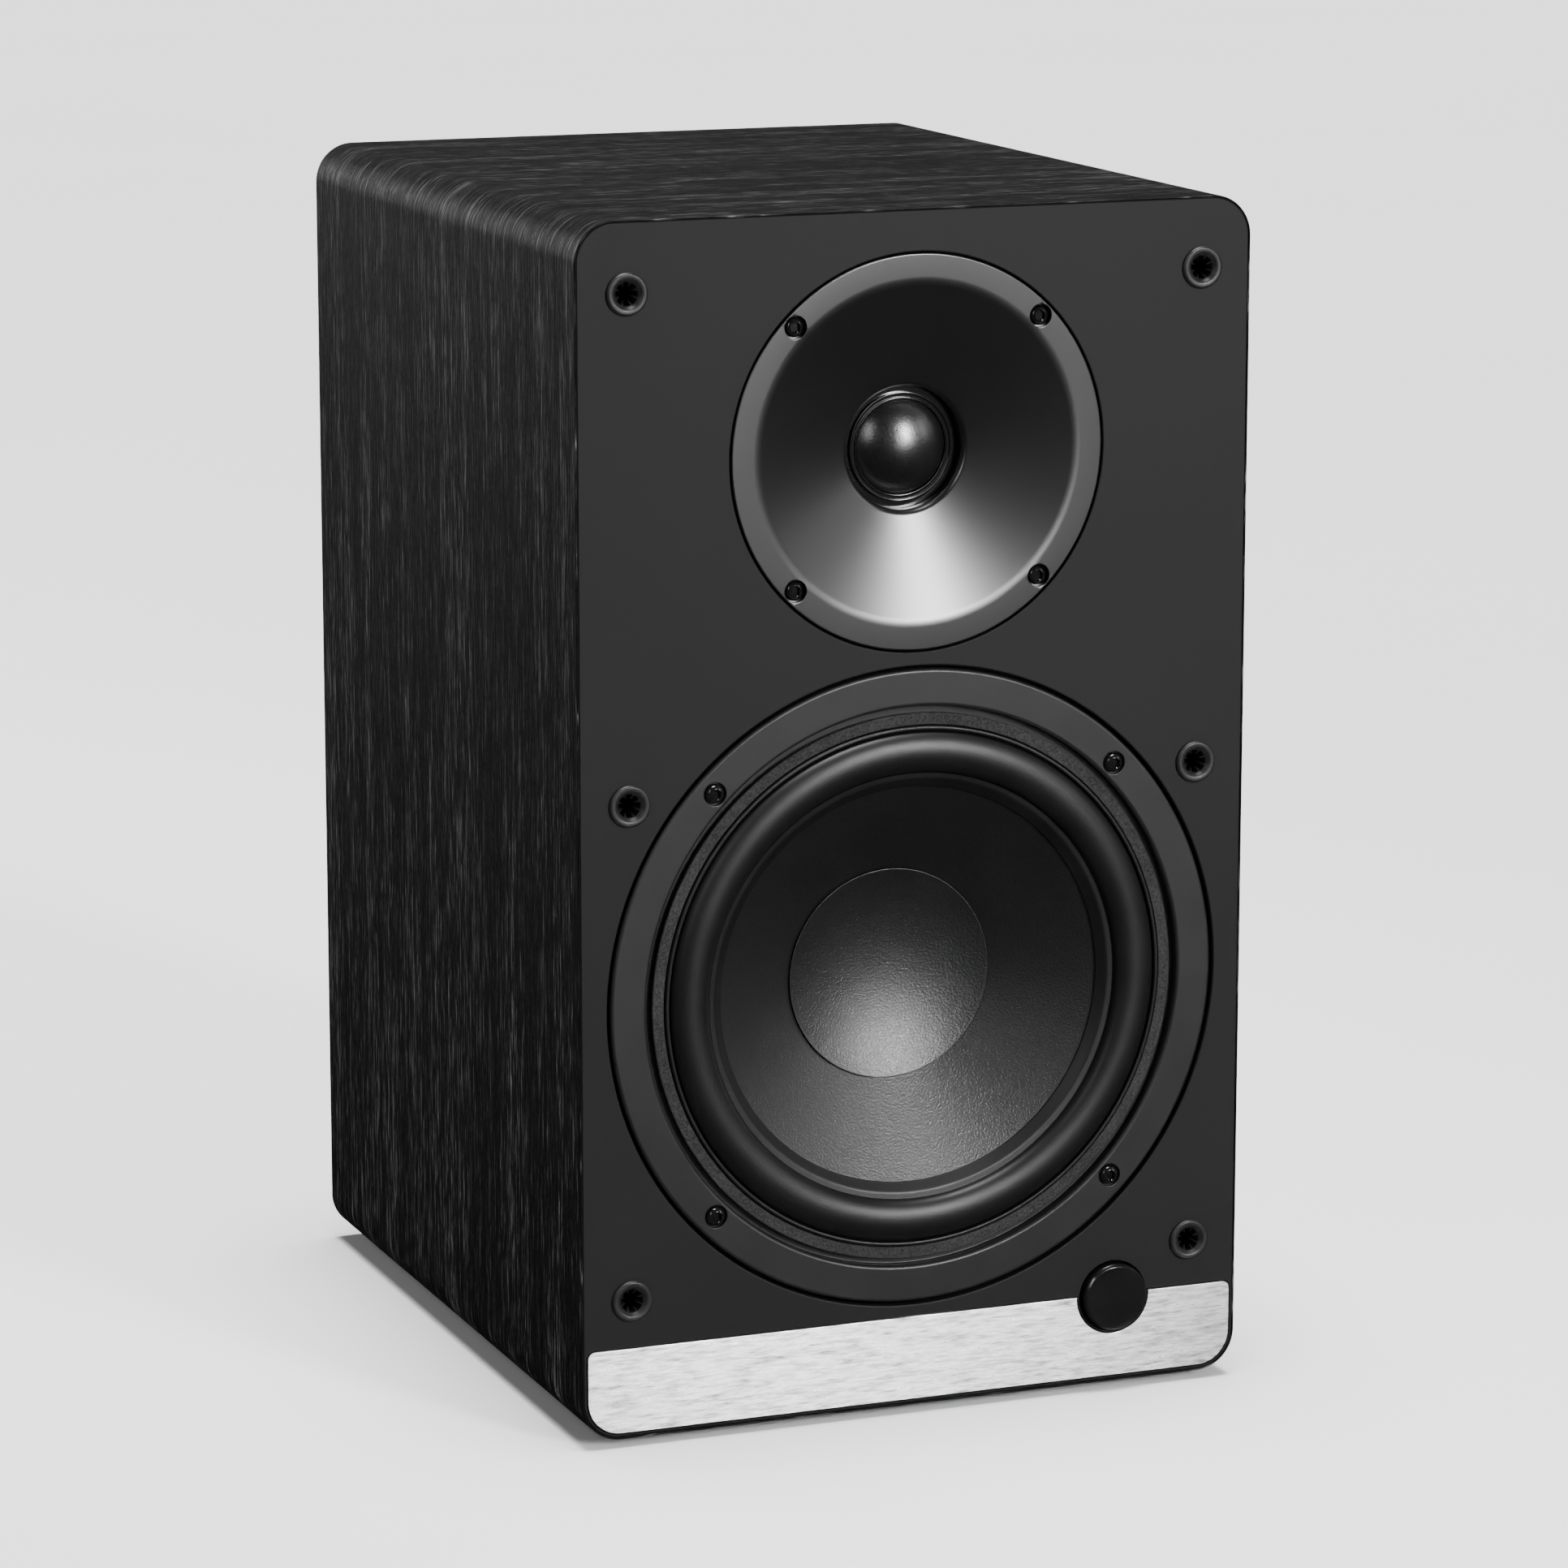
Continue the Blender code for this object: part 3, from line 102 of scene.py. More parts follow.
class Seat:
    """A place on the front or the back, with x to the world's right, y up and z outwards."""

    def __init__(self, x, z, y, outwards):
        self.x, self.z, self.y, self.outwards = x, z, y, outwards

    def point(self, x, y, out):
        return (self.x + x, self.y + self.outwards * out, self.z + y)


def front_seat(node):
    return Seat(middle(node).x, middle(node).z, FRONT_Y, -1)


def rear_seat(node):
    return Seat(middle(node).x, middle(node).z, REAR_Y, 1)


CABINET_FRONT = Seat(CABINET_MIDDLE.x, CABINET_MIDDLE.z, FRONT_Y, -1)
TWEETER = front_seat("tweeter_waveguide")
WOOFER = front_seat("woofer_basket")
BUTTON = front_seat("front_button")


# ---------------------------------------------------------------- materials


def noise(tree, coordinates, stretch, detail=3.0, roughness=0.55, offset=0.0):
    """Noise whose features are about one over stretch metres long along each axis."""
    mapping = tree.nodes.new("ShaderNodeMapping")
    mapping.inputs["Scale"].default_value = stretch
    mapping.inputs["Location"].default_value = (offset, offset, offset)
    texture = tree.nodes.new("ShaderNodeTexNoise")
    texture.inputs["Scale"].default_value = 1.0
    texture.inputs["Detail"].default_value = detail
    texture.inputs["Roughness"].default_value = roughness
    tree.links.new(coordinates, mapping.inputs["Vector"])
    tree.links.new(mapping.outputs["Vector"], texture.inputs["Vector"])
    return texture.outputs["Fac"]


def remap(tree, value, low, high, start=0.3, end=0.7):
    node = tree.nodes.new("ShaderNodeMapRange")
    node.inputs["From Min"].default_value = start
    node.inputs["From Max"].default_value = end
    node.inputs["To Min"].default_value = low
    node.inputs["To Max"].default_value = high
    tree.links.new(value, node.inputs["Value"])
    return node.outputs["Result"]


def ramp(tree, value, stops):
    """Colour ramp through (place, grey or colour) stops."""
    node = tree.nodes.new("ShaderNodeValToRGB")
    elements = node.color_ramp.elements
    while len(elements) < len(stops):
        elements.new(0.5)
    for element, (place, colour) in zip(elements, stops):
        element.position = place
        element.color = (*rgb(colour), 1)
    tree.links.new(value, node.inputs["Fac"])
    return node.outputs["Color"]


def rgb(colour):
    return (colour, colour, colour) if isinstance(colour, (int, float)) else tuple(colour)


def mixed(tree, a, b, factor):
    node = tree.nodes.new("ShaderNodeMix")
    node.data_type = "FLOAT"
    node.inputs[0].default_value = factor
    tree.links.new(a, node.inputs[2])
    tree.links.new(b, node.inputs[3])
    return node.outputs[0]


def bump(tree, shader, height, distance, strength=1.0):
    node = tree.nodes.new("ShaderNodeBump")
    node.inputs["Distance"].default_value = distance
    node.inputs["Strength"].default_value = strength
    tree.links.new(height, node.inputs["Height"])
    tree.links.new(node.outputs["Normal"], shader.inputs["Normal"])


def wave(tree, coordinates, direction, scale, distortion):
    texture = tree.nodes.new("ShaderNodeTexWave")
    texture.bands_direction = direction
    texture.inputs["Scale"].default_value = scale
    texture.inputs["Distortion"].default_value = distortion
    tree.links.new(coordinates, texture.inputs["Vector"])
    return texture.outputs["Fac"]


def new_material(name, metallic=0.0, specular=0.5, coat=0.0, sheen=0.0):
    """Material with a node tree, its shader, and the object coordinates that its textures use."""
    material = bpy.data.materials.new(name)
    material.use_nodes = True
    tree = material.node_tree
    shader = tree.nodes["Principled BSDF"]
    shader.inputs["Metallic"].default_value = metallic
    shader.inputs["Specular IOR Level"].default_value = specular
    shader.inputs["Coat Weight"].default_value = coat
    shader.inputs["Coat Roughness"].default_value = 0.1
    shader.inputs["Sheen Weight"].default_value = sheen
    coordinates = tree.nodes.new("ShaderNodeTexCoord").outputs["Object"]
    return material, tree, shader, coordinates


def grained(name, dark, light, roughness, grain, depth=0.01 * MM, wear=0.05, **kind):
    """Moulded or painted surface: fine grain of that many features a metre, and slow cloudy wear."""
    material, tree, shader, at = new_material(name, **kind)
    fine = noise(tree, at, (grain, grain, grain))
    slow = noise(tree, at, (grain / 40, grain / 40, grain / 40), offset=3.1)
    both = mixed(tree, fine, slow, 0.4)
    tree.links.new(ramp(tree, both, [(0.35, dark), (0.65, light)]), shader.inputs["Base Color"])
    tree.links.new(remap(tree, both, roughness - wear, roughness + wear), shader.inputs["Roughness"])
    bump(tree, shader, fine, depth)
    return material


def vinyl(name):
    """Black ash vinyl: pale dashes on a dark ground, long round the girth and fine from front to back."""
    material, tree, shader, at = new_material(name, specular=0.1)
    dashes = remap(tree, noise(tree, at, (55, 1700, 55), detail=3, roughness=0.6), 0, 1, 0.45, 0.6)
    pores = remap(tree, noise(tree, at, (150, 3400, 150), detail=2, offset=1.7), 0, 1, 0.42, 0.62)
    bands = remap(tree, noise(tree, at, (5, 90, 5), detail=4, offset=5.3), 0, 1, 0.38, 0.62)
    grain = mixed(tree, dashes, pores, 0.45)
    tone = mixed(tree, grain, bands, 0.2)
    stops = [(0.2, 0.001), (0.5, 0.002), (0.72, 0.014), (0.92, 0.1)]
    tree.links.new(ramp(tree, tone, stops), shader.inputs["Base Color"])
    tree.links.new(remap(tree, grain, 0.6, 0.38, 0, 1), shader.inputs["Roughness"])
    bump(tree, shader, grain, 0.22 * MM)
    return material


def baffle_paint(name):
    """Matt black paint with a very fine orange peel."""
    material, tree, shader, at = new_material(name, specular=0.15)
    fine = noise(tree, at, (2200, 2200, 2200))
    slow = noise(tree, at, (14, 14, 14), offset=2.3)
    both = mixed(tree, fine, slow, 0.5)
    tree.links.new(ramp(tree, both, [(0.3, 0.005), (0.7, 0.007)]), shader.inputs["Base Color"])
    tree.links.new(remap(tree, both, 0.5, 0.58), shader.inputs["Roughness"])
    bump(tree, shader, fine, 0.006 * MM)
    return material


def brushed(name, dark, light, roughness, along, anisotropy=0.0):
    """Metal brushed along x, with short strokes, which spread its reflections up and down, and mottling."""
    material, tree, shader, at = new_material(name, metallic=1.0)
    shader.inputs["Anisotropic"].default_value = anisotropy
    shader.inputs["Anisotropic Rotation"].default_value = 0.25
    strokes = noise(tree, at, along, detail=4, roughness=0.7)
    mottle = noise(tree, at, (along[0] / 2, along[1] / 2.5, along[2] / 2.5), detail=4, offset=4.1)
    both = mixed(tree, strokes, mottle, 0.5)
    tree.links.new(ramp(tree, both, [(0.35, dark), (0.65, light)]), shader.inputs["Base Color"])
    spread = 0.08
    tree.links.new(remap(tree, both, roughness + spread, roughness - spread), shader.inputs["Roughness"])
    bump(tree, shader, strokes, 0.02 * MM, 0.6)
    return material


def speckled(name, dark, light, roughness, grain, depth, **kind):
    """Pulp or foam: dense light flecks on a dark ground."""
    material, tree, shader, at = new_material(name, **kind)
    flecks = noise(tree, at, (grain, grain, grain), detail=2, roughness=0.7)
    slow = noise(tree, at, (grain / 25, grain / 25, grain / 25), offset=7.7)
    tone = mixed(tree, flecks, slow, 0.25)
    tree.links.new(
        ramp(tree, tone, [(0.38, dark), (0.55, (dark + light) / 2), (0.68, light)]),
        shader.inputs["Base Color"],
    )
    tree.links.new(remap(tree, flecks, roughness + 0.1, roughness - 0.1), shader.inputs["Roughness"])
    bump(tree, shader, flecks, depth)
    return material


def wound(name):
    """Copper wire wound round the y axis."""
    material, tree, shader, at = new_material(name, metallic=1.0)
    turns = wave(tree, at, "Y", 1000, 0.4)
    stops = [(0.0, (0.2, 0.06, 0.02)), (1.0, (0.75, 0.33, 0.14))]
    tree.links.new(ramp(tree, turns, stops), shader.inputs["Base Color"])
    tree.links.new(remap(tree, turns, 0.5, 0.3, 0, 1), shader.inputs["Roughness"])
    bump(tree, shader, turns, 0.1 * MM)
    return material


def woven(name, dark, light):
    """Impregnated cloth with a plain weave in the plane of the front."""
    material, tree, shader, at = new_material(name, sheen=0.3)
    warp, weft = [wave(tree, at, direction, 420, 1.5) for direction in ("X", "Z")]
    weave = mixed(tree, warp, weft, 0.5)
    tree.links.new(ramp(tree, weave, [(0.2, dark), (0.8, light)]), shader.inputs["Base Color"])
    tree.links.new(remap(tree, weave, 0.95, 0.75, 0, 1), shader.inputs["Roughness"])
    bump(tree, shader, weave, 0.15 * MM)
    return material


def circuit_board(name):
    """Green solder mask, with tracks and pads in a lighter green."""
    material, tree, shader, at = new_material(name, coat=0.2)
    cells = tree.nodes.new("ShaderNodeTexVoronoi")
    cells.distance = "MANHATTAN"
    cells.inputs["Scale"].default_value = 260
    tree.links.new(at, cells.inputs["Vector"])
    fine = noise(tree, at, (1500, 1500, 1500))
    tone = mixed(tree, cells.outputs["Distance"], fine, 0.3)
    stops = [(0.25, (0.006, 0.05, 0.02)), (0.45, (0.01, 0.11, 0.04)), (0.6, (0.03, 0.2, 0.08))]
    tree.links.new(ramp(tree, tone, stops), shader.inputs["Base Color"])
    tree.links.new(remap(tree, fine, 0.35, 0.5), shader.inputs["Roughness"])
    bump(tree, shader, cells.outputs["Distance"], 0.03 * MM)
    return material


def fibreboard(name):
    """Cut fibreboard under a black sealer, with the fibres still showing."""
    material, tree, shader, at = new_material(name, specular=0.25)
    fibres = noise(tree, at, (1800, 500, 1800), detail=5, roughness=0.7)
    slow = noise(tree, at, (40, 40, 40), offset=1.3)
    both = mixed(tree, fibres, slow, 0.35)
    stops = [(0.35, (0.008, 0.007, 0.006)), (0.5, (0.014, 0.013, 0.012)), (0.65, (0.024, 0.022, 0.02))]
    tree.links.new(ramp(tree, both, stops), shader.inputs["Base Color"])
    tree.links.new(remap(tree, both, 0.8, 0.95), shader.inputs["Roughness"])
    bump(tree, shader, fibres, 0.05 * MM)
    return material


MATERIALS = {
    "baffle_paint": baffle_paint("baffle_paint"),
    "mdf": fibreboard("mdf"),
    "rear_vinyl": grained("rear_vinyl", 0.012, 0.024, 0.6, 1400, 0.05 * MM),
    "ash_vinyl": vinyl("ash_vinyl"),
    "brushed_strip": brushed("brushed_strip", 0.09, 0.85, 0.32, along=(260, 2400, 2400), anisotropy=0.93),
    "grey_plastic": grained("grey_plastic", 0.002, 0.003, 0.285, 2600, 0.001 * MM,
                            wear=0.005, specular=0.9),
    "black_plastic": grained("black_plastic", 0.006, 0.011, 0.42, 2000, 0.012 * MM, specular=0.35),
    "red_plastic": grained("red_plastic", (0.3, 0.008, 0.008), (0.42, 0.014, 0.012), 0.3, 1500, coat=0.3),
    "smoked_plastic": grained("smoked_plastic", 0.002, 0.005, 0.2, 1700, 0.008 * MM, coat=0.4),
    "black_metal": grained("black_metal", 0.012, 0.016, 0.42, 2400, 0.006 * MM, specular=0.6),
    "zinc_steel": brushed("zinc_steel", 0.42, 0.62, 0.38, along=(500, 500, 500)),
    "ferrite": grained("ferrite", 0.03, 0.06, 0.8, 900, 0.04 * MM),
    "rubber": grained("rubber", 0.014, 0.02, 0.5, 3000, 0.01 * MM, sheen=0.05),
    "cone_pulp": speckled("cone_pulp", 0.001, 0.006, 0.39, 1650, 0.13 * MM, specular=0.75),
    "dome_cloth": grained("dome_cloth", 0.001, 0.003, 0.3, 1500, 0.04 * MM, specular=1.0),
    "spider_cloth": woven("spider_cloth", (0.3, 0.17, 0.05), (0.55, 0.36, 0.14)),
    "coil": wound("coil"),
    "circuit_board": circuit_board("circuit_board"),
    "lead_sleeve": grained("lead_sleeve", 0.012, 0.024, 0.55, 1800, 0.02 * MM),
    "gasket": speckled("gasket", 0.004, 0.022, 0.8, 1500, 0.06 * MM, specular=0.3),
    # finer kinds of the slots above
    "screw_black": grained("screw_black", 0.002, 0.005, 0.16, 1500, 0.001 * MM, wear=0.02, specular=0.5),
    "ring_black": grained("ring_black", 0.001, 0.002, 0.14, 1800, 0.0005 * MM, wear=0.01, specular=0.9),
    "frame_metal": grained("frame_metal", 0.006, 0.008, 0.4, 2600, 0.004 * MM, specular=0.35),
    "roll_rubber": grained("roll_rubber", 0.002, 0.004, 0.42, 2200, 0.025 * MM, wear=0.03, specular=0.31),
    "pointer_paint": grained("pointer_paint", 0.55, 0.65, 0.5, 1500, 0.01 * MM),
}


# ---------------------------------------------------------------- mesh helpers


def finish_mesh(obj, slot, body, nodes, material=None, sharp=35):
    """Smooth-shaded piece with its normals outwards, which rides a body and stands for CAD nodes.
    """
    mesh = obj.data
    bm = bmesh.new()
    bm.from_mesh(mesh)
    bmesh.ops.remove_doubles(bm, verts=bm.verts, dist=1e-7)
    bmesh.ops.recalc_face_normals(bm, faces=bm.faces)
    bm.to_mesh(mesh)
    bm.free()
    mesh.shade_smooth()
    mesh.set_sharp_from_angle(angle=math.radians(sharp))
    mesh.materials.clear()
    mesh.materials.append(material or MATERIALS[slot])
    weighted = obj.modifiers.new("Weighted", "WEIGHTED_NORMAL")
    weighted.keep_sharp = True
    if body:
        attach(obj, body)
    if nodes:
        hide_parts(*nodes)


def new_object(name, mesh):
    obj = bpy.data.objects.new(name, mesh)
    bpy.context.scene.collection.objects.link(obj)
    return obj


def rounded(corners, closed=True):
    """Points of a profile whose corners are rounded to their optional third number."""
    points = []
    count = len(corners)
    for i, corner in enumerate(corners):
        at = Vector(corner[:2])
        size = corner[2] if len(corner) > 2 else 0
        if not size or (not closed and i in (0, count - 1)):
            points.append(tuple(at))
            continue
        before = Vector(corners[i - 1][:2]) - at
        after = Vector(corners[(i + 1) % count][:2]) - at
        angle = before.angle(after)
        reach = min(size / math.tan(angle / 2), 0.48 * before.length, 0.48 * after.length)
        size = reach * math.tan(angle / 2)
        start, end = at + before.normalized() * reach, at + after.normalized() * reach
        halfway = (before.normalized() + after.normalized()).normalized()
        centre = at + halfway * (size / math.sin(angle / 2))
        steps = max(2, math.ceil((math.pi - angle) / math.radians(12)))
        first = start - centre
        total = first.angle_signed(end - centre)
        for k in range(steps + 1):
            turn = -total * k / steps
            spun = Vector((
                first.x * math.cos(turn) - first.y * math.sin(turn),
                first.x * math.sin(turn) + first.y * math.cos(turn),
            ))
            points.append(tuple(centre + spun))
    return points


def ring_mesh(name, rings, seat, closed, shape=None, segments=192):
    """Mesh of rings about a seat's axis; shape gives the factor on the radius at an angle and ring."""
    bm = bmesh.new()
    loops = []
    for index, (radius, height) in enumerate(rings):
        if radius <= 1e-6:  # on the axis
            loops.append([bm.verts.new(seat.point(0, 0, height * MM))])
            continue
        loop = []
        for k in range(segments):
            angle = TURN * k / segments
            factor = shape(angle, index) if shape else 1
            r = radius * factor * MM
            loop.append(bm.verts.new(seat.point(r * math.cos(angle), r * math.sin(angle), height * MM)))
        loops.append(loop)
    pairs = list(zip(loops, loops[1:]))
    if closed:
        pairs.append((loops[-1], loops[0]))
    for a, b in pairs:
        if len(a) == 1 and len(b) == 1:
            continue
        for k in range(segments):
            n = (k + 1) % segments
            if len(a) == 1:
                bm.faces.new((a[0], b[n], b[k]))
            elif len(b) == 1:
                bm.faces.new((a[k], a[n], b[0]))
            else:
                bm.faces.new((a[k], a[n], b[n], b[k]))
    bmesh.ops.recalc_face_normals(bm, faces=bm.faces)
    mesh = bpy.data.meshes.new(name)
    bm.to_mesh(mesh)
    bm.free()
    return mesh


def lathe(name, corners, seat, closed=True, segments=192):
    """Turned piece: a closed profile, or one that starts and ends on the axis."""
    return new_object(name, ring_mesh(name, rounded(corners, closed), seat, closed, segments=segments))


def arc(centre, radius, start, end, segments):
    """Points of an arc between two angles in degrees."""
    steps = [math.radians(start + (end - start) * i / segments) for i in range(segments + 1)]
    return [(centre[0] + radius * math.cos(a), centre[1] + radius * math.sin(a)) for a in steps]


def rounded_box(width, height, radius, inset, segments=16):
    """Outline of a rounded rectangle drawn in by inset."""
    x, y = width / 2 - radius, height / 2 - radius
    size = max(radius - inset, 1e-5)
    x, y = min(x, width / 2 - inset - size), min(y, height / 2 - inset - size)
    corners = [((x, y), 0), ((-x, y), 90), ((-x, -y), 180), ((x, -y), 270)]
    return [p for centre, turn in corners for p in arc(centre, size, turn, turn + 90, segments)]


def stacked(name, seat, outline, levels, hollow=False):
    """Solid through (inset, out) levels of one outline, capped at both ends, or a closed loop of them."""
    bm = bmesh.new()
    loops = [
        [bm.verts.new(seat.point(x, y, out)) for x, y in outline(inset)] for inset, out in levels
    ]
    pairs = list(zip(loops, loops[1:]))
    if hollow:
        pairs.append((loops[-1], loops[0]))
    else:
        bm.faces.new(loops[0])
        bm.faces.new(loops[-1])
    for a, b in pairs:
        for k in range(len(a)):
            n = (k + 1) % len(a)
            bm.faces.new((a[k], a[n], b[n], b[k]))
    bmesh.ops.recalc_face_normals(bm, faces=bm.faces)
    mesh = bpy.data.meshes.new(name)
    bm.to_mesh(mesh)
    bm.free()
    return new_object(name, mesh)


def edge_levels(top, bottom, radius, segments=4):
    """Levels of a slab from top to bottom whose top edge is rounded."""
    turns = [math.pi / 2 * i / segments for i in range(segments + 1)]
    upper = [(radius * (1 - math.sin(t)), top - radius * (1 - math.cos(t))) for t in turns]
    return [*upper, (0, bottom)]


def cut(obj, tools):
    """Takes the tools' volumes out of a piece and removes the tools."""
    for tool in tools:
        modifier = obj.modifiers.new("Cut", "BOOLEAN")
        modifier.operation = "DIFFERENCE"
        modifier.object = tool
    graph = bpy.context.evaluated_depsgraph_get()
    mesh = bpy.data.meshes.new_from_object(obj.evaluated_get(graph))
    obj.modifiers.clear()
    old = obj.data
    obj.data = mesh
    mesh.name = old.name
    bpy.data.meshes.remove(old)
    for tool in tools:
        bpy.data.objects.remove(tool)


SLOTS = {part["node"]: part["material_slot"] for part in frame["record"]["subparts"]}


def refined(node, width):
    """The CAD node's own shape, copied, with its facets cleaned up and its edges rounded to a width."""
    source = frame["nodes"][node]
    mesh = source.data.copy()
    bm = bmesh.new()
    bm.from_mesh(mesh)
    bmesh.ops.remove_doubles(bm, verts=bm.verts, dist=2e-6)
    bmesh.ops.dissolve_limit(bm, angle_limit=math.radians(1), verts=bm.verts, edges=bm.edges)
    bm.to_mesh(mesh)
    bm.free()
    obj = new_object(node + "_finish", mesh)
    bevel = obj.modifiers.new("Round", "BEVEL")
    bevel.width = width
    bevel.segments = 2
    bevel.limit_method = "ANGLE"
    bevel.angle_limit = math.radians(25)
    bevel.use_clamp_overlap = True
    graph = bpy.context.evaluated_depsgraph_get()
    obj.data = bpy.data.meshes.new_from_object(obj.evaluated_get(graph))
    obj.modifiers.clear()
    finish_mesh(obj, SLOTS[node], source["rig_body"], [node])


def dress_nodes():
    """Gives every CAD node the material of its slot; those that nothing replaces keep it."""
    for name, obj in frame["nodes"].items():
        obj.data.materials.clear()
        obj.data.materials.append(MATERIALS[SLOTS[name]])


# ---------------------------------------------------------------- cabinet


def build_wrap():
    """Skin round the four long sides, with a thin rounded front edge."""

    def outline(inset):
        return rounded_box(CABINET_SIZE.x, CABINET_SIZE.z, CORNER_RADIUS, inset, 24)

    back = -CABINET_SIZE.y
    half = WRAP / 2
    turns = [math.pi * i / 6 for i in range(7)]
    edge = [(half - half * math.cos(t), -half + half * math.sin(t)) for t in turns]
    levels = [*edge, (WRAP, back), (0, back)]
    wrap = stacked("vinyl_skin", CABINET_FRONT, outline, levels, hollow=True)
    finish_mesh(wrap, "ash_vinyl", ROOT, ["vinyl_wrap"])


def strip_outline(grow=0.0):
    """Outline of the trim strip, grown all round, as a function of inset: it has a bite for the button."""
    low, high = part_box("trim_strip")
    half = (high.x - low.x) / 2
    bottom = low.z - CABINET_MIDDLE.z
    top = high.z - CABINET_MIDDLE.z
    corner = CORNER_RADIUS - (CABINET_SIZE.x / 2 - half)
    top_corner = 2.2 * MM
    bite = 11.1 * MM
    centre = (BUTTON.x - CABINET_MIDDLE.x, BUTTON.z - CABINET_MIDDLE.z)

    def outline(inset):
        i = inset - grow
        r, t, b = corner - i, max(top_corner - i, 0.2 * MM), bite + i
        left = arc((-half + corner, bottom + corner), r, 180, 270, 16)
        right = arc((half - corner, bottom + corner), r, 270, 360, 16)
        top_right = arc((half - i - t, top - i - t), t, 0, 90, 10)
        top_left = arc((-half + i + t, top - i - t), t, 90, 180, 10)
        rise = math.degrees(math.asin((top - i - centre[1]) / b))
        notch = arc(centre, b, rise, -180 - rise, 72)
        return [*left, *right, *top_right, *notch, *top_left]

    return outline


def driver_tool(name, seat, rebate, depth, hole, edge):
    """Cutter for a driver's hole, with a rebate of that radius and depth for its flange."""
    profile = [
        (0, CUTTER_TOP), (rebate + edge, CUTTER_TOP), (rebate + edge, 0), *quarter_flare(rebate, edge),
        (rebate, -depth), (hole, -depth), (hole, CUTTER_END), (0, CUTTER_END),
    ]
    return lathe(name, profile, seat, closed=False, segments=256)


def quarter_flare(radius, edge):
    """Points down a rounded edge between a face at height 0 and a bore of that radius."""
    turns = [math.pi / 2 * i / 4 for i in range(1, 5)]
    return [(radius + edge * (1 - math.sin(t)), -edge * (1 - math.cos(t))) for t in turns]


def build_baffle():
    """Front board with the rebates for the drivers, the pocket for the strip and the bores for the cups."""
    low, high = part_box("front_baffle")
    grow = GAP - SEAM
    width, height = high.x - low.x + 2 * grow, high.z - low.z + 2 * grow
    radius = CORNER_RADIUS - WRAP - SEAM

    def outline(inset):
        return rounded_box(width, height, radius, inset, 24)

    depth = high.y - low.y
    bevel = 0.35 * MM
    baffle = stacked("front_board", CABINET_FRONT, outline, [(bevel, 0), (0, -bevel), (0, -depth)])
    button_bore, stem_bore, button_seat = 10.4, 6, -4
    button_profile = [
        (0, CUTTER_TOP), (button_bore, CUTTER_TOP), (button_bore, button_seat),
        (stem_bore, button_seat), (stem_bore, CUTTER_END), (0, CUTTER_END),
    ]
    cup_bore = 4.7
    cup_profile = [(0, CUTTER_TOP), (cup_bore, CUTTER_TOP), (cup_bore, CUTTER_END), (0, CUTTER_END)]
    tools = [
        driver_tool("tool_tweeter", TWEETER, 55.6, 4.3, 46, edge=0.35),
        driver_tool("tool_woofer", WOOFER, 91.8, 5.5, 79.2, edge=0.5),
        stacked("tool_pocket", CABINET_FRONT, strip_outline(grow=GAP), [(0, 3 * MM), (0, -1 * MM)]),
        lathe("tool_button", button_profile, BUTTON, closed=False, segments=96),
    ]
    for node in sockets():
        tools.append(lathe("tool_" + node, cup_profile, front_seat(node), closed=False, segments=48))
    cut(baffle, tools)
    finish_mesh(baffle, "baffle_paint", ROOT, ["front_baffle"])


def build_strip():
    low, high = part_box("trim_strip")
    levels = edge_levels(FRONT_Y - low.y, FRONT_Y - high.y, 0.22 * MM)
    strip = stacked("brushed_strip", CABINET_FRONT, strip_outline(), levels)
    finish_mesh(strip, "brushed_strip", ROOT, ["trim_strip"])


def sockets():
    return sorted(n for n in frame["nodes"] if n.startswith("grille_socket"))


def build_sockets():
    """Flanged cups with a rounded rim and eight gripping ribs in the bore."""
    profile = [
        (0, -12.5), (3.15, -12.5), (3.15, -0.8), (3.3, 0.1, 0.2), (4.3, 1.15, 0.9),
        (5.4, 1.2, 0.5), (5.9, 0.7, 0.35), (5.9, 0.3), (4.4, 0.3), (4.4, -14), (0, -14),
    ]
    rings = rounded(profile, closed=False)
    ribs, rib_share, rib_rise = 8, 0.34, 0.42
    bore, rib_top = 3.2, -0.5

    def ribbed(angle, index):
        radius, height = rings[index]
        if height > rib_top or radius > bore:
            return 1
        phase = (angle * ribs / TURN) % 1
        return 1 - rib_rise * max(0, 1 - abs(phase - 0.5) / (rib_share / 2)) ** 0.5

    for node in sockets():
        cup = new_object(node + "_cup", ring_mesh(node, rings, front_seat(node), False, ribbed, 96))
        finish_mesh(cup, "black_plastic", ROOT, [node], sharp=50)


def build_feet():
    """Tapered pads, turned about y at the origin's height and then stood up."""
    outline = [(0, 0), (6.9, 0), (7.6, 0.5), (8, 1.4), (8, 2.2), (0, 2.2)]
    for node in sorted(n for n in frame["nodes"] if n.startswith("rubber_foot")):
        centre = middle(node)
        seat = Seat(centre.x, 0, centre.y, 1)
        mesh = ring_mesh(node, outline, seat, False, segments=64)
        for vert in mesh.vertices:
            x, y, z = vert.co
            vert.co = (x, centre.y + z, y - centre.y)
        finish_mesh(new_object(node + "_pad", mesh), "rubber", ROOT, [node])


# ---------------------------------------------------------------- screws


def hexagon(angle):
    """Radius of a unit hexagon, by its flats, at an angle."""
    return 1 / math.cos((angle + TURN / 12) % (TURN / 6) - TURN / 12)


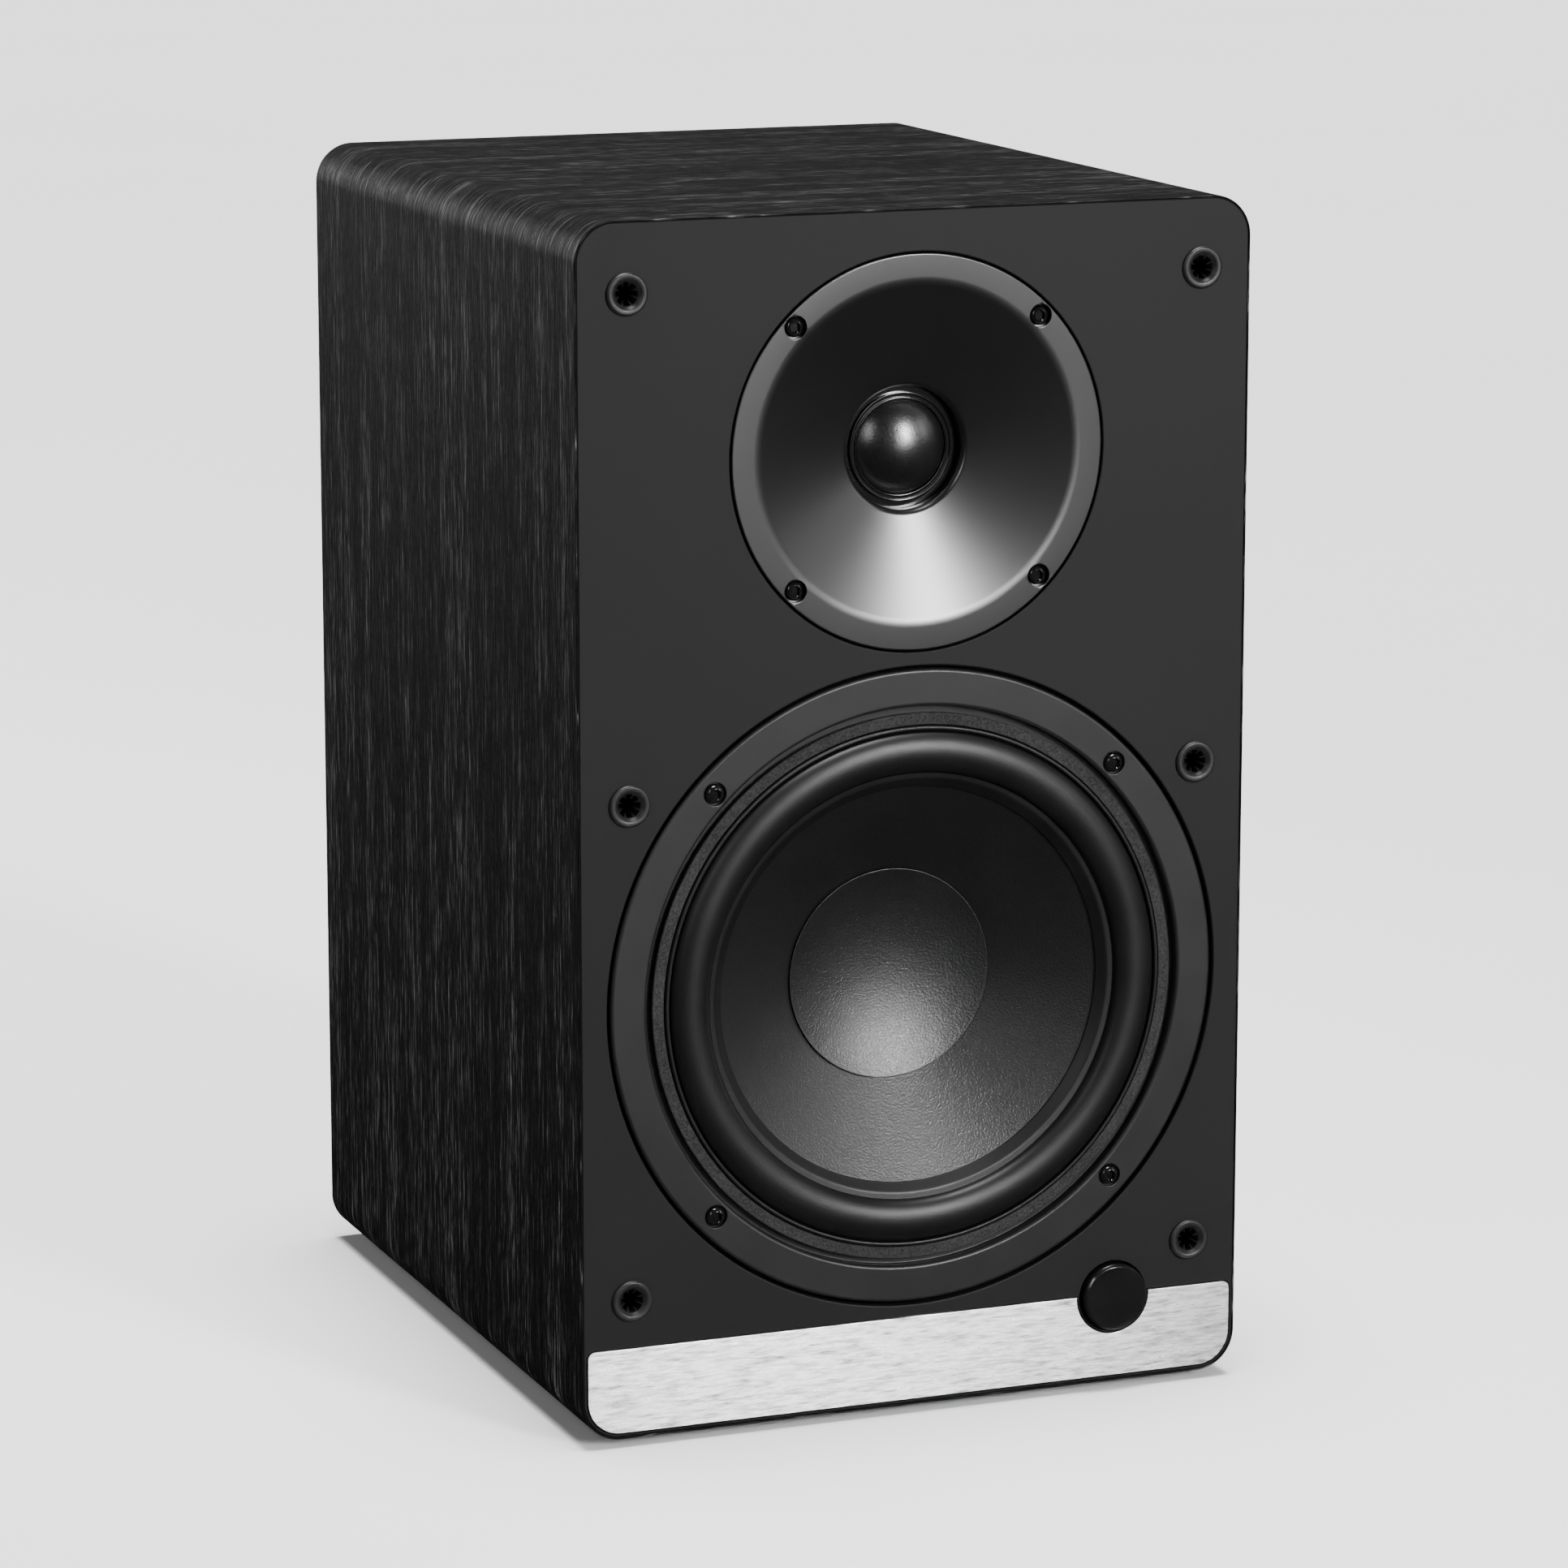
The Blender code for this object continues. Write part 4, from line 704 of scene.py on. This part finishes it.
def build_screw(node):
    """Button head with a hexagon socket, on a plain shank."""
    low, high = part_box(node)
    seat = front_seat(node)
    top = (FRONT_Y - low.y) / MM
    tip = (FRONT_Y - high.y) / MM
    base = top - 1.9
    key, key_depth = 1.3, 1.25
    profile = [
        (0, top - key_depth), (key, top - key_depth), (key, top - 0.3), (key + 0.25, top),
        (1.6, top - 0.02, 0.1), (2.3, top - 0.4, 1.5), (2.8, top - 1.3, 0.8), (2.8, base),
        (1.5, base), (1.5, tip + 1), (0, tip),
    ]
    rings = rounded(profile, closed=False)

    def shape(angle, index):
        radius, height = rings[index]
        return hexagon(angle) if radius < key + 0.05 and height > base - 0.01 else 1

    screw = new_object(node + "_fine", ring_mesh(node, rings, seat, False, shape, 72))
    finish_mesh(screw, "black_metal", ROOT, [node], material=MATERIALS["screw_black"], sharp=30)


def build_screws():
    for node in sorted(n for n in frame["nodes"] if "_screw_" in n):
        build_screw(node)


def screw_tools(driver, radius, sink, edge=0.2):
    """Counterbore cutters with a soft rim, at a driver's screws."""
    tools = []
    for node in sorted(n for n in frame["nodes"] if n.startswith(driver + "_screw_")):
        profile = [
            (0, 4), (radius + edge, 4), (radius + edge, 0), *quarter_flare(radius, edge),
            (radius, sink), (1.9, sink), (1.9, -9), (0, -9),
        ]
        tools.append(lathe("tool_" + node, profile, front_seat(node), closed=False, segments=64))
    return tools


# ---------------------------------------------------------------- tweeter


def build_tweeter():
    """Horn, the ring with two thin lips round the dome, and the dome."""
    waveguide = lathe("tweeter_horn", [
        (17.2, -9.9, 2.2), (47.3, 0, 9), (55.05, 0, 0.45), (55.05, -4),
        (45, -4), (29, -10.4), (29, -15), (20, -15), (20, -13.6), (17.3, -13.6, 0.2),
    ], TWEETER, segments=256)
    cut(waveguide, screw_tools("tweeter", 3.2, -2.4))
    finish_mesh(waveguide, "grey_plastic", ROOT, ["tweeter_waveguide"])

    ring = lathe("tweeter_ring", [
        (13.42, -13.7), (13.42, -13.05, 0.17), (13.85, -13.05, 0.17), (13.9, -13.45, 0.05),
        (14.7, -13.45, 0.05), (14.75, -12.95, 0.22), (15.3, -12.95, 0.22), (15.3, -14),
        (19.6, -14), (19.6, -14.7), (13.5, -14.7), (13.5, -13.7),
    ], TWEETER)
    finish_mesh(ring, "black_plastic", ROOT, ["tweeter_dome_ring"], material=MATERIALS["ring_black"])

    rim, rim_height, rise, skin = 13.25, -13.6, 5.7, 0.4
    ball = (rim ** 2 + rise ** 2) / (2 * rise)
    spread = math.degrees(math.asin(rim / ball))
    centre = (0, rim_height + rise - ball)
    outer = arc(centre, ball, 90, 90 - spread, 28)
    inner = arc(centre, ball - skin, 90 - spread + 0.6, 90, 28)
    outer[0], inner[-1] = (0, outer[0][1]), (0, inner[-1][1])
    dome = lathe("tweeter_soft_dome", outer + inner, TWEETER, closed=False)
    finish_mesh(dome, "dome_cloth", "tweeter_moving", ["tweeter_dome"], sharp=60)


# ---------------------------------------------------------------- woofer


CONE_EDGE, CONE_RADIUS, CONE_SLOPE = -2.95, 60.6, 0.585  # mm, mm, and depth over radius


def cone_height(radius):
    """Height of the cone's front in millimetres."""
    return CONE_EDGE - CONE_SLOPE * (CONE_RADIUS - radius)


def build_basket():
    """Cast frame: flange, tapered wall with windows, and the ledge that the spider is glued to."""
    basket = lathe("woofer_frame", [
        (80.3, 0, 1.1), (90.8, 0, 1.0), (90.8, -5.2), (78.4, -5.2), (76.5, -9), (58.5, -33, 2),
        (50, -42, 1.5), (22.4, -42), (22.4, -39.8), (48.8, -39.8, 1), (52.8, -31.8, 0.5),
        (56.6, -31.8, 1), (74.2, -8.4), (74.2, -3.4), (80.3, -3.4, 0.3),
    ], WOOFER, segments=256)

    def outline(inset):
        return rounded_box(30 * MM, 40 * MM, 5 * MM, inset)

    windows = []
    count, reach = 6, 40 * MM
    for i in range(count):
        tool = stacked("tool_window", WOOFER, outline, [(0, reach), (0, -reach)])
        tool.data.transform(window_matrix(TURN * (i + 0.5) / count))
        windows.append(tool)
    cut(basket, [*windows, *screw_tools("woofer", 3.25, -1.4, edge=0.25)])
    finish_mesh(basket, "black_metal", ROOT, ["woofer_basket"], material=MATERIALS["frame_metal"])


def window_matrix(turn):
    """Lays an upright window tool along the frame's wall at that turn about the woofer's axis."""
    axis_point = Vector((WOOFER.x, WOOFER.y, WOOFER.z))
    home = Matrix.Translation(-axis_point)
    tip = Matrix.Rotation(-math.pi / 2, 4, "Z")
    out = Matrix.Translation((70 * MM, 20.5 * MM, 0))
    spin = Matrix.Rotation(turn, 4, "Y")
    return Matrix.Translation(axis_point) @ spin @ out @ tip @ home


def surround_profile():
    """Outer lip, bead, half roll, small inner ridge and the lip that is glued on the cone."""
    outer, inner, foot, rise = 73.2, 61.3, -1.9, 3.9
    centre, half = (outer + inner) / 2, (outer - inner) / 2
    segments = 28
    turns = [math.pi * (1 - i / segments) for i in range(segments + 1)]
    roll = [(centre + half * math.cos(a), foot + rise * math.sin(a)) for a in turns]
    skin = 0.9
    under = [(centre + (half - skin) * math.cos(a), foot - skin + rise * math.sin(a)) for a in turns]
    lip = 56.9
    top = [
        (lip, cone_height(lip) + 0.75, 0.2), (57.5, cone_height(57.5) + 0.85, 0.6),
        (59.5, -2.3, 1.8), (61.2, -2.05, 0.3),
    ]
    bead = [(73.35, -1.9, 0.2), (73.5, -0.25, 0.5), (74.6, -0.25, 0.5), (74.75, -2.2, 0.1)]
    edge = [(78.2, -2.2, 0.2), (78.2, -3.1)]
    seat = [(CONE_RADIUS + 0.2, CONE_EDGE + 0.3), (lip, cone_height(lip) + 0.3)]
    return [*top, *roll[1:], *bead, *edge, *reversed(under), *seat]


def build_surround():
    """Rubber edge, which rides no body and is not bent."""
    rings = rounded(surround_profile())
    surround = new_object("woofer_roll", ring_mesh("woofer_roll", rings, WOOFER, True, segments=256))
    finish_mesh(surround, "rubber", None, ["woofer_surround"], material=MATERIALS["roll_rubber"], sharp=60)
    flex(surround)


def flex(obj):
    """Bakes the ring's transform into its mesh; nothing bends it."""
    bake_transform(obj)


def build_cone():
    """Straight cone and its concave cap."""
    neck, skin = 19.7, 1.0
    corners = [(neck, cone_height(neck))]
    corners += [(r, cone_height(r)) for r in (25, 30, 35, 40, 45, 50, 55)]
    corners += [(CONE_RADIUS, CONE_EDGE), (CONE_RADIUS, CONE_EDGE - skin), (neck, cone_height(neck) - skin)]
    cone = lathe("woofer_pulp_cone", corners, WOOFER, segments=256)
    finish_mesh(cone, "cone_pulp", "woofer_moving", ["woofer_cone"])

    rim, dip, skin = 30.3, 6.0, 0.6
    rim_height = cone_height(rim) + 0.9
    ball = (rim ** 2 + dip ** 2) / (2 * dip)
    spread = math.degrees(math.asin(rim / ball))
    centre = (0, rim_height - dip + ball)
    top = arc(centre, ball, 270, 270 + spread, 24)
    under = arc(centre, ball + skin, 270 + spread - 0.3, 270, 24)
    top[0], under[-1] = (0, top[0][1]), (0, under[-1][1])
    top[-1] = (*top[-1], 0.15)
    cap = lathe("woofer_concave_cap", top + under, WOOFER, closed=False, segments=256)
    finish_mesh(cap, "cone_pulp", "woofer_moving", ["woofer_dust_cap"], sharp=60)


def build_woofer():
    build_basket()
    build_surround()
    build_cone()
    gasket = lathe("woofer_gasket_ring", [
        (74.95, -0.9, 0.25), (78.3, -0.9, 0.35), (78.3, -1.8), (74.95, -1.8),
    ], WOOFER, segments=256)
    finish_mesh(gasket, "rubber", ROOT, ["woofer_gasket"], material=MATERIALS["gasket"])
    build_spider()


def build_spider():
    """Corrugated cloth between the coil and the frame's inner ledge."""
    inner, outer, flat, skin, waves = 19.7, 55.9, 5.0, 0.5, 3
    level, swing = -30.9, 0.98
    name, steps = "woofer_centring_cloth", 72
    top = []
    for i in range(steps + 1):
        share = i / steps
        rise = swing * (0.5 - 0.5 * math.cos(TURN * waves * share))
        top.append((inner + (outer - flat - inner) * share, level + rise))
    top.append((outer, level))
    under = [(radius, height - skin) for radius, height in reversed(top)]
    spider = new_object(name, ring_mesh(name, [*top, *under], WOOFER, True, segments=128))
    finish_mesh(spider, "spider_cloth", None, ["woofer_spider"], sharp=60)
    flex(spider)


# ---------------------------------------------------------------- front button


def build_button():
    """Round button with a raised lip, on its stem."""
    low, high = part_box("front_button")
    proud = (FRONT_Y - low.y) / MM
    end = (FRONT_Y - high.y) / MM
    button = lathe("glossy_button", [
        (0, proud - 0.05), (8.4, proud - 0.05, 0.3), (8.7, proud, 0.15), (9.05, proud, 0.2),
        (9.7, proud - 0.65, 0.2), (9.7, -1.8), (3.2, -1.8), (3.2, end), (0, end),
    ], BUTTON, closed=False, segments=160)
    finish_mesh(button, "smoked_plastic", "button_moving", ["front_button"])


# ---------------------------------------------------------------- back


def build_knob():
    """Knob with a knurled skirt and a painted pointer in its face."""
    low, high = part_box("volume_knob")
    seat = rear_seat("volume_knob")
    top = (high.y - REAR_Y) / MM
    bottom = (low.y - REAR_Y) / MM
    profile = [
        (0, top - 0.5), (7.4, top - 0.5, 0.3), (8.0, top, 0.3), (9.6, top, 0.6), (10.3, top - 1.4, 0.4),
        (10.9, bottom + 1.2), (11, bottom + 0.9), (11, bottom, 0.3), (3.3, bottom), (3.3, 14.3), (0, 14.3),
    ]
    rings = rounded(profile, closed=False)
    ridges, depth = 48, 0.012

    def knurled(angle, index):
        radius, height = rings[index]
        on_skirt = radius > 10.2 and bottom + 1.0 < height < top - 1.1
        return 1 - depth * (0.5 - 0.5 * math.cos(angle * ridges)) if on_skirt else 1

    knob = new_object("volume_knob_fine", ring_mesh("volume_knob", rings, seat, False, knurled, 384))

    def slot_outline(inset):
        return [(x, y + 5.6 * MM) for x, y in rounded_box(1.4 * MM, 3 * MM, 0.69 * MM, inset, 6)]

    groove = stacked("tool_pointer", seat, slot_outline, [(0, (top + 2) * MM), (0, (top - 0.9) * MM)])
    cut(knob, [groove])
    finish_mesh(knob, "black_plastic", "knob_moving", ["volume_knob"])
    play = 0.03 * MM
    levels = [(play, (top - 0.56) * MM), (play, (top - 0.87) * MM)]
    pointer = stacked("volume_pointer", seat, slot_outline, levels)
    finish_mesh(pointer, "black_plastic", "knob_moving", [], material=MATERIALS["pointer_paint"])


def build_plate():
    """Amplifier plate and the six screws that hold it."""
    low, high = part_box("amplifier_plate")
    refined("amplifier_plate", 0.35 * MM)
    inset = 6 * MM
    for i, x in enumerate((low.x + inset, high.x - inset)):
        for j, z in enumerate((low.z + inset, (low.z + high.z) / 2, high.z - inset)):
            pan_head(f"plate_screw_{i}_{j}", Seat(x, z, REAR_Y, 1))


def pan_head(name, seat):
    """Pan-head screw with a hexagon socket, standing on a surface."""
    profile = [
        (0, 0.9), (1.2, 0.9), (1.2, 1.75), (1.35, 1.85), (2.1, 1.75, 0.3), (3.0, 0.9, 0.5),
        (3.1, 0.02), (0, 0.02),
    ]
    rings = rounded(profile, closed=False)

    def shape(angle, index):
        radius, height = rings[index]
        return hexagon(angle) if radius < 1.25 and height > 0.5 else 1

    screw = new_object(name, ring_mesh(name, rings, seat, False, shape, 72))
    finish_mesh(screw, "black_metal", ROOT, [], material=MATERIALS["screw_black"], sharp=30)


def build_port():
    """Tube that flares into its flange."""
    seat = rear_seat("port_tube")
    low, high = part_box("port_tube")
    flange = (high.y - REAR_Y) / MM
    inner = (low.y - REAR_Y) / MM
    bore, outside, flare = 21, 23.6, 7.0
    throat = arc((bore + flare, flange - flare), flare, 180, 90, 14)
    corners = [
        (bore, inner), *throat, (33, flange, 0.9), (33, 0.3), (outside, 0.3), (outside, inner),
    ]
    port = lathe("port_flare", corners, seat, segments=192)
    finish_mesh(port, "black_plastic", ROOT, ["port_tube"])


def build_connectors():
    """Sockets, inlet and switch, which keep the CAD's shape with softer edges, and the terminals."""
    refined("input_sockets", 0.2 * MM)
    build_terminal("red")
    build_terminal("black")
    refined("mains_inlet", 0.4 * MM)
    refined("power_rocker", 0.35 * MM)
    refined("speaker_terminals", 0.3 * MM)


def build_terminal(colour):
    """Fluted cap and the steel washer under it."""
    node = "terminal_cap_" + colour
    low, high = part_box(node)
    seat = rear_seat(node)
    bottom, top = (low.y - REAR_Y) / MM, (high.y - REAR_Y) / MM
    profile = [
        (3.5, top, 0.3), (5.6, top, 0.5), (6.5, top - 1.2, 0.5), (6.55, bottom + 0.5, 0.2),
        (6.2, bottom, 0.2), (3.5, bottom),
    ]
    rings = rounded(profile)
    flutes, depth, side = 12, 0.07, 5.8

    def fluted(angle, index):
        on_side = rings[index][0] > side
        return 1 - depth * (0.5 - 0.5 * math.cos(angle * flutes)) ** 3 if on_side else 1

    cap = new_object(node + "_fine", ring_mesh(node, rings, seat, True, fluted, 192))
    slot = "red_plastic" if colour == "red" else "black_plastic"
    finish_mesh(cap, slot, f"cap_{colour}_moving", [node])
    washer = "terminal_washer_" + colour
    low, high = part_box(washer)
    bottom, top = (low.y - REAR_Y) / MM, (high.y - REAR_Y) / MM
    ring = lathe(washer + "_fine", [
        (3.5, top, 0.15), (6.2, top, 0.25), (6.2, bottom, 0.25), (3.5, bottom, 0.15),
    ], rear_seat(washer), segments=96)
    finish_mesh(ring, "zinc_steel", f"washer_{colour}_moving", [washer])


# ---------------------------------------------------------------- stage


def build_floor():
    """Pale floor, left out of glossy reflections, which keeps the black parts as dark as in the photo."""
    bm = bmesh.new()
    bmesh.ops.create_grid(bm, x_segments=1, y_segments=1, size=30)
    mesh = bpy.data.meshes.new("floor")
    bm.to_mesh(mesh)
    bm.free()
    floor = new_object("floor", mesh)
    material, tree, shader, at = new_material("floor_pale", specular=0.2)
    cloud = noise(tree, at, (2, 2, 2))
    tree.links.new(ramp(tree, cloud, [(0.3, 0.8), (0.7, 0.82)]), shader.inputs["Base Color"])
    shader.inputs["Roughness"].default_value = 0.9
    mesh.materials.append(material)
    floor.visible_glossy = False


def area_light(name, place, target, size, power, spread):
    """Rectangular softbox; spread, in degrees, is what its grid lets through."""
    light = bpy.data.lights.new(name, "AREA")
    light.shape = "RECTANGLE"
    light.size, light.size_y = size
    light.energy = power
    light.spread = math.radians(spread)
    obj = new_object(name, light)
    obj.location = place
    obj.rotation_euler = (Vector(target) - Vector(place)).to_track_quat("-Z", "Y").to_euler()
    obj.visible_camera = False


def around(azimuth, elevation, distance, target):
    """A place seen from the target at that azimuth, counted from the front to the right, in degrees."""
    a, e = math.radians(azimuth), math.radians(elevation)
    step = Vector((math.sin(a) * math.cos(e), -math.cos(a) * math.cos(e), math.sin(e)))
    return Vector(target) + step * distance


def build_lights():
    """A gridded key and its weak helpers in front, one light behind for the vinyl's edge, and a ceiling
    that is gridded so hard that it lights little but the floor."""
    target = (0, 0, 0.18)
    softboxes = [  # name, azimuth, elevation, distance, size, power, spread
        ("key_softbox", 20, 19, 2.2, (0.36, 0.9), 4.0, 36),
        ("low_softbox", 14, 3, 2.4, (0.4, 0.3), 0.5, 60),
        ("left_softbox", -47, 24, 2.0, (0.3, 0.9), 0.75, 60),
        ("right_softbox", 56, 20, 2.0, (0.4, 0.9), 0.5, 60),
        ("back_softbox", 203, 12, 2.6, (0.8, 0.4), 2.2, 60),
    ]
    for name, azimuth, elevation, distance, size, power, spread in softboxes:
        area_light(name, around(azimuth, elevation, distance, target), target, size, power, spread)
    height, side = 3, 26.0
    area_light("ceiling_softbox", (0, 0, height), (0, 0, 0), (side, side), 5633, 30)
    world = bpy.data.worlds.new("studio")
    bpy.context.scene.world = world
    world.use_nodes = True
    background = world.node_tree.nodes["Background"]
    background.inputs["Color"].default_value = (1, 1, 1, 1)
    background.inputs["Strength"].default_value = 0.035


def build_camera():
    """Long lens from the left and above, fitted to the photo."""
    camera = bpy.data.cameras.new("camera")
    camera.lens = 136.65
    camera.sensor_width = 36
    obj = new_object("camera", camera)
    obj.location = (-0.6265, -1.6182, 0.5151)
    obj.rotation_euler = (math.pi / 2 - 0.2027, 0, -0.3742)
    bpy.context.scene.camera = obj


dress_nodes()
build_wrap()
build_baffle()
build_strip()
build_sockets()
build_feet()
build_screws()
build_tweeter()
build_woofer()
build_button()
build_plate()
build_knob()
build_port()
build_connectors()
build_floor()
build_lights()
build_camera()
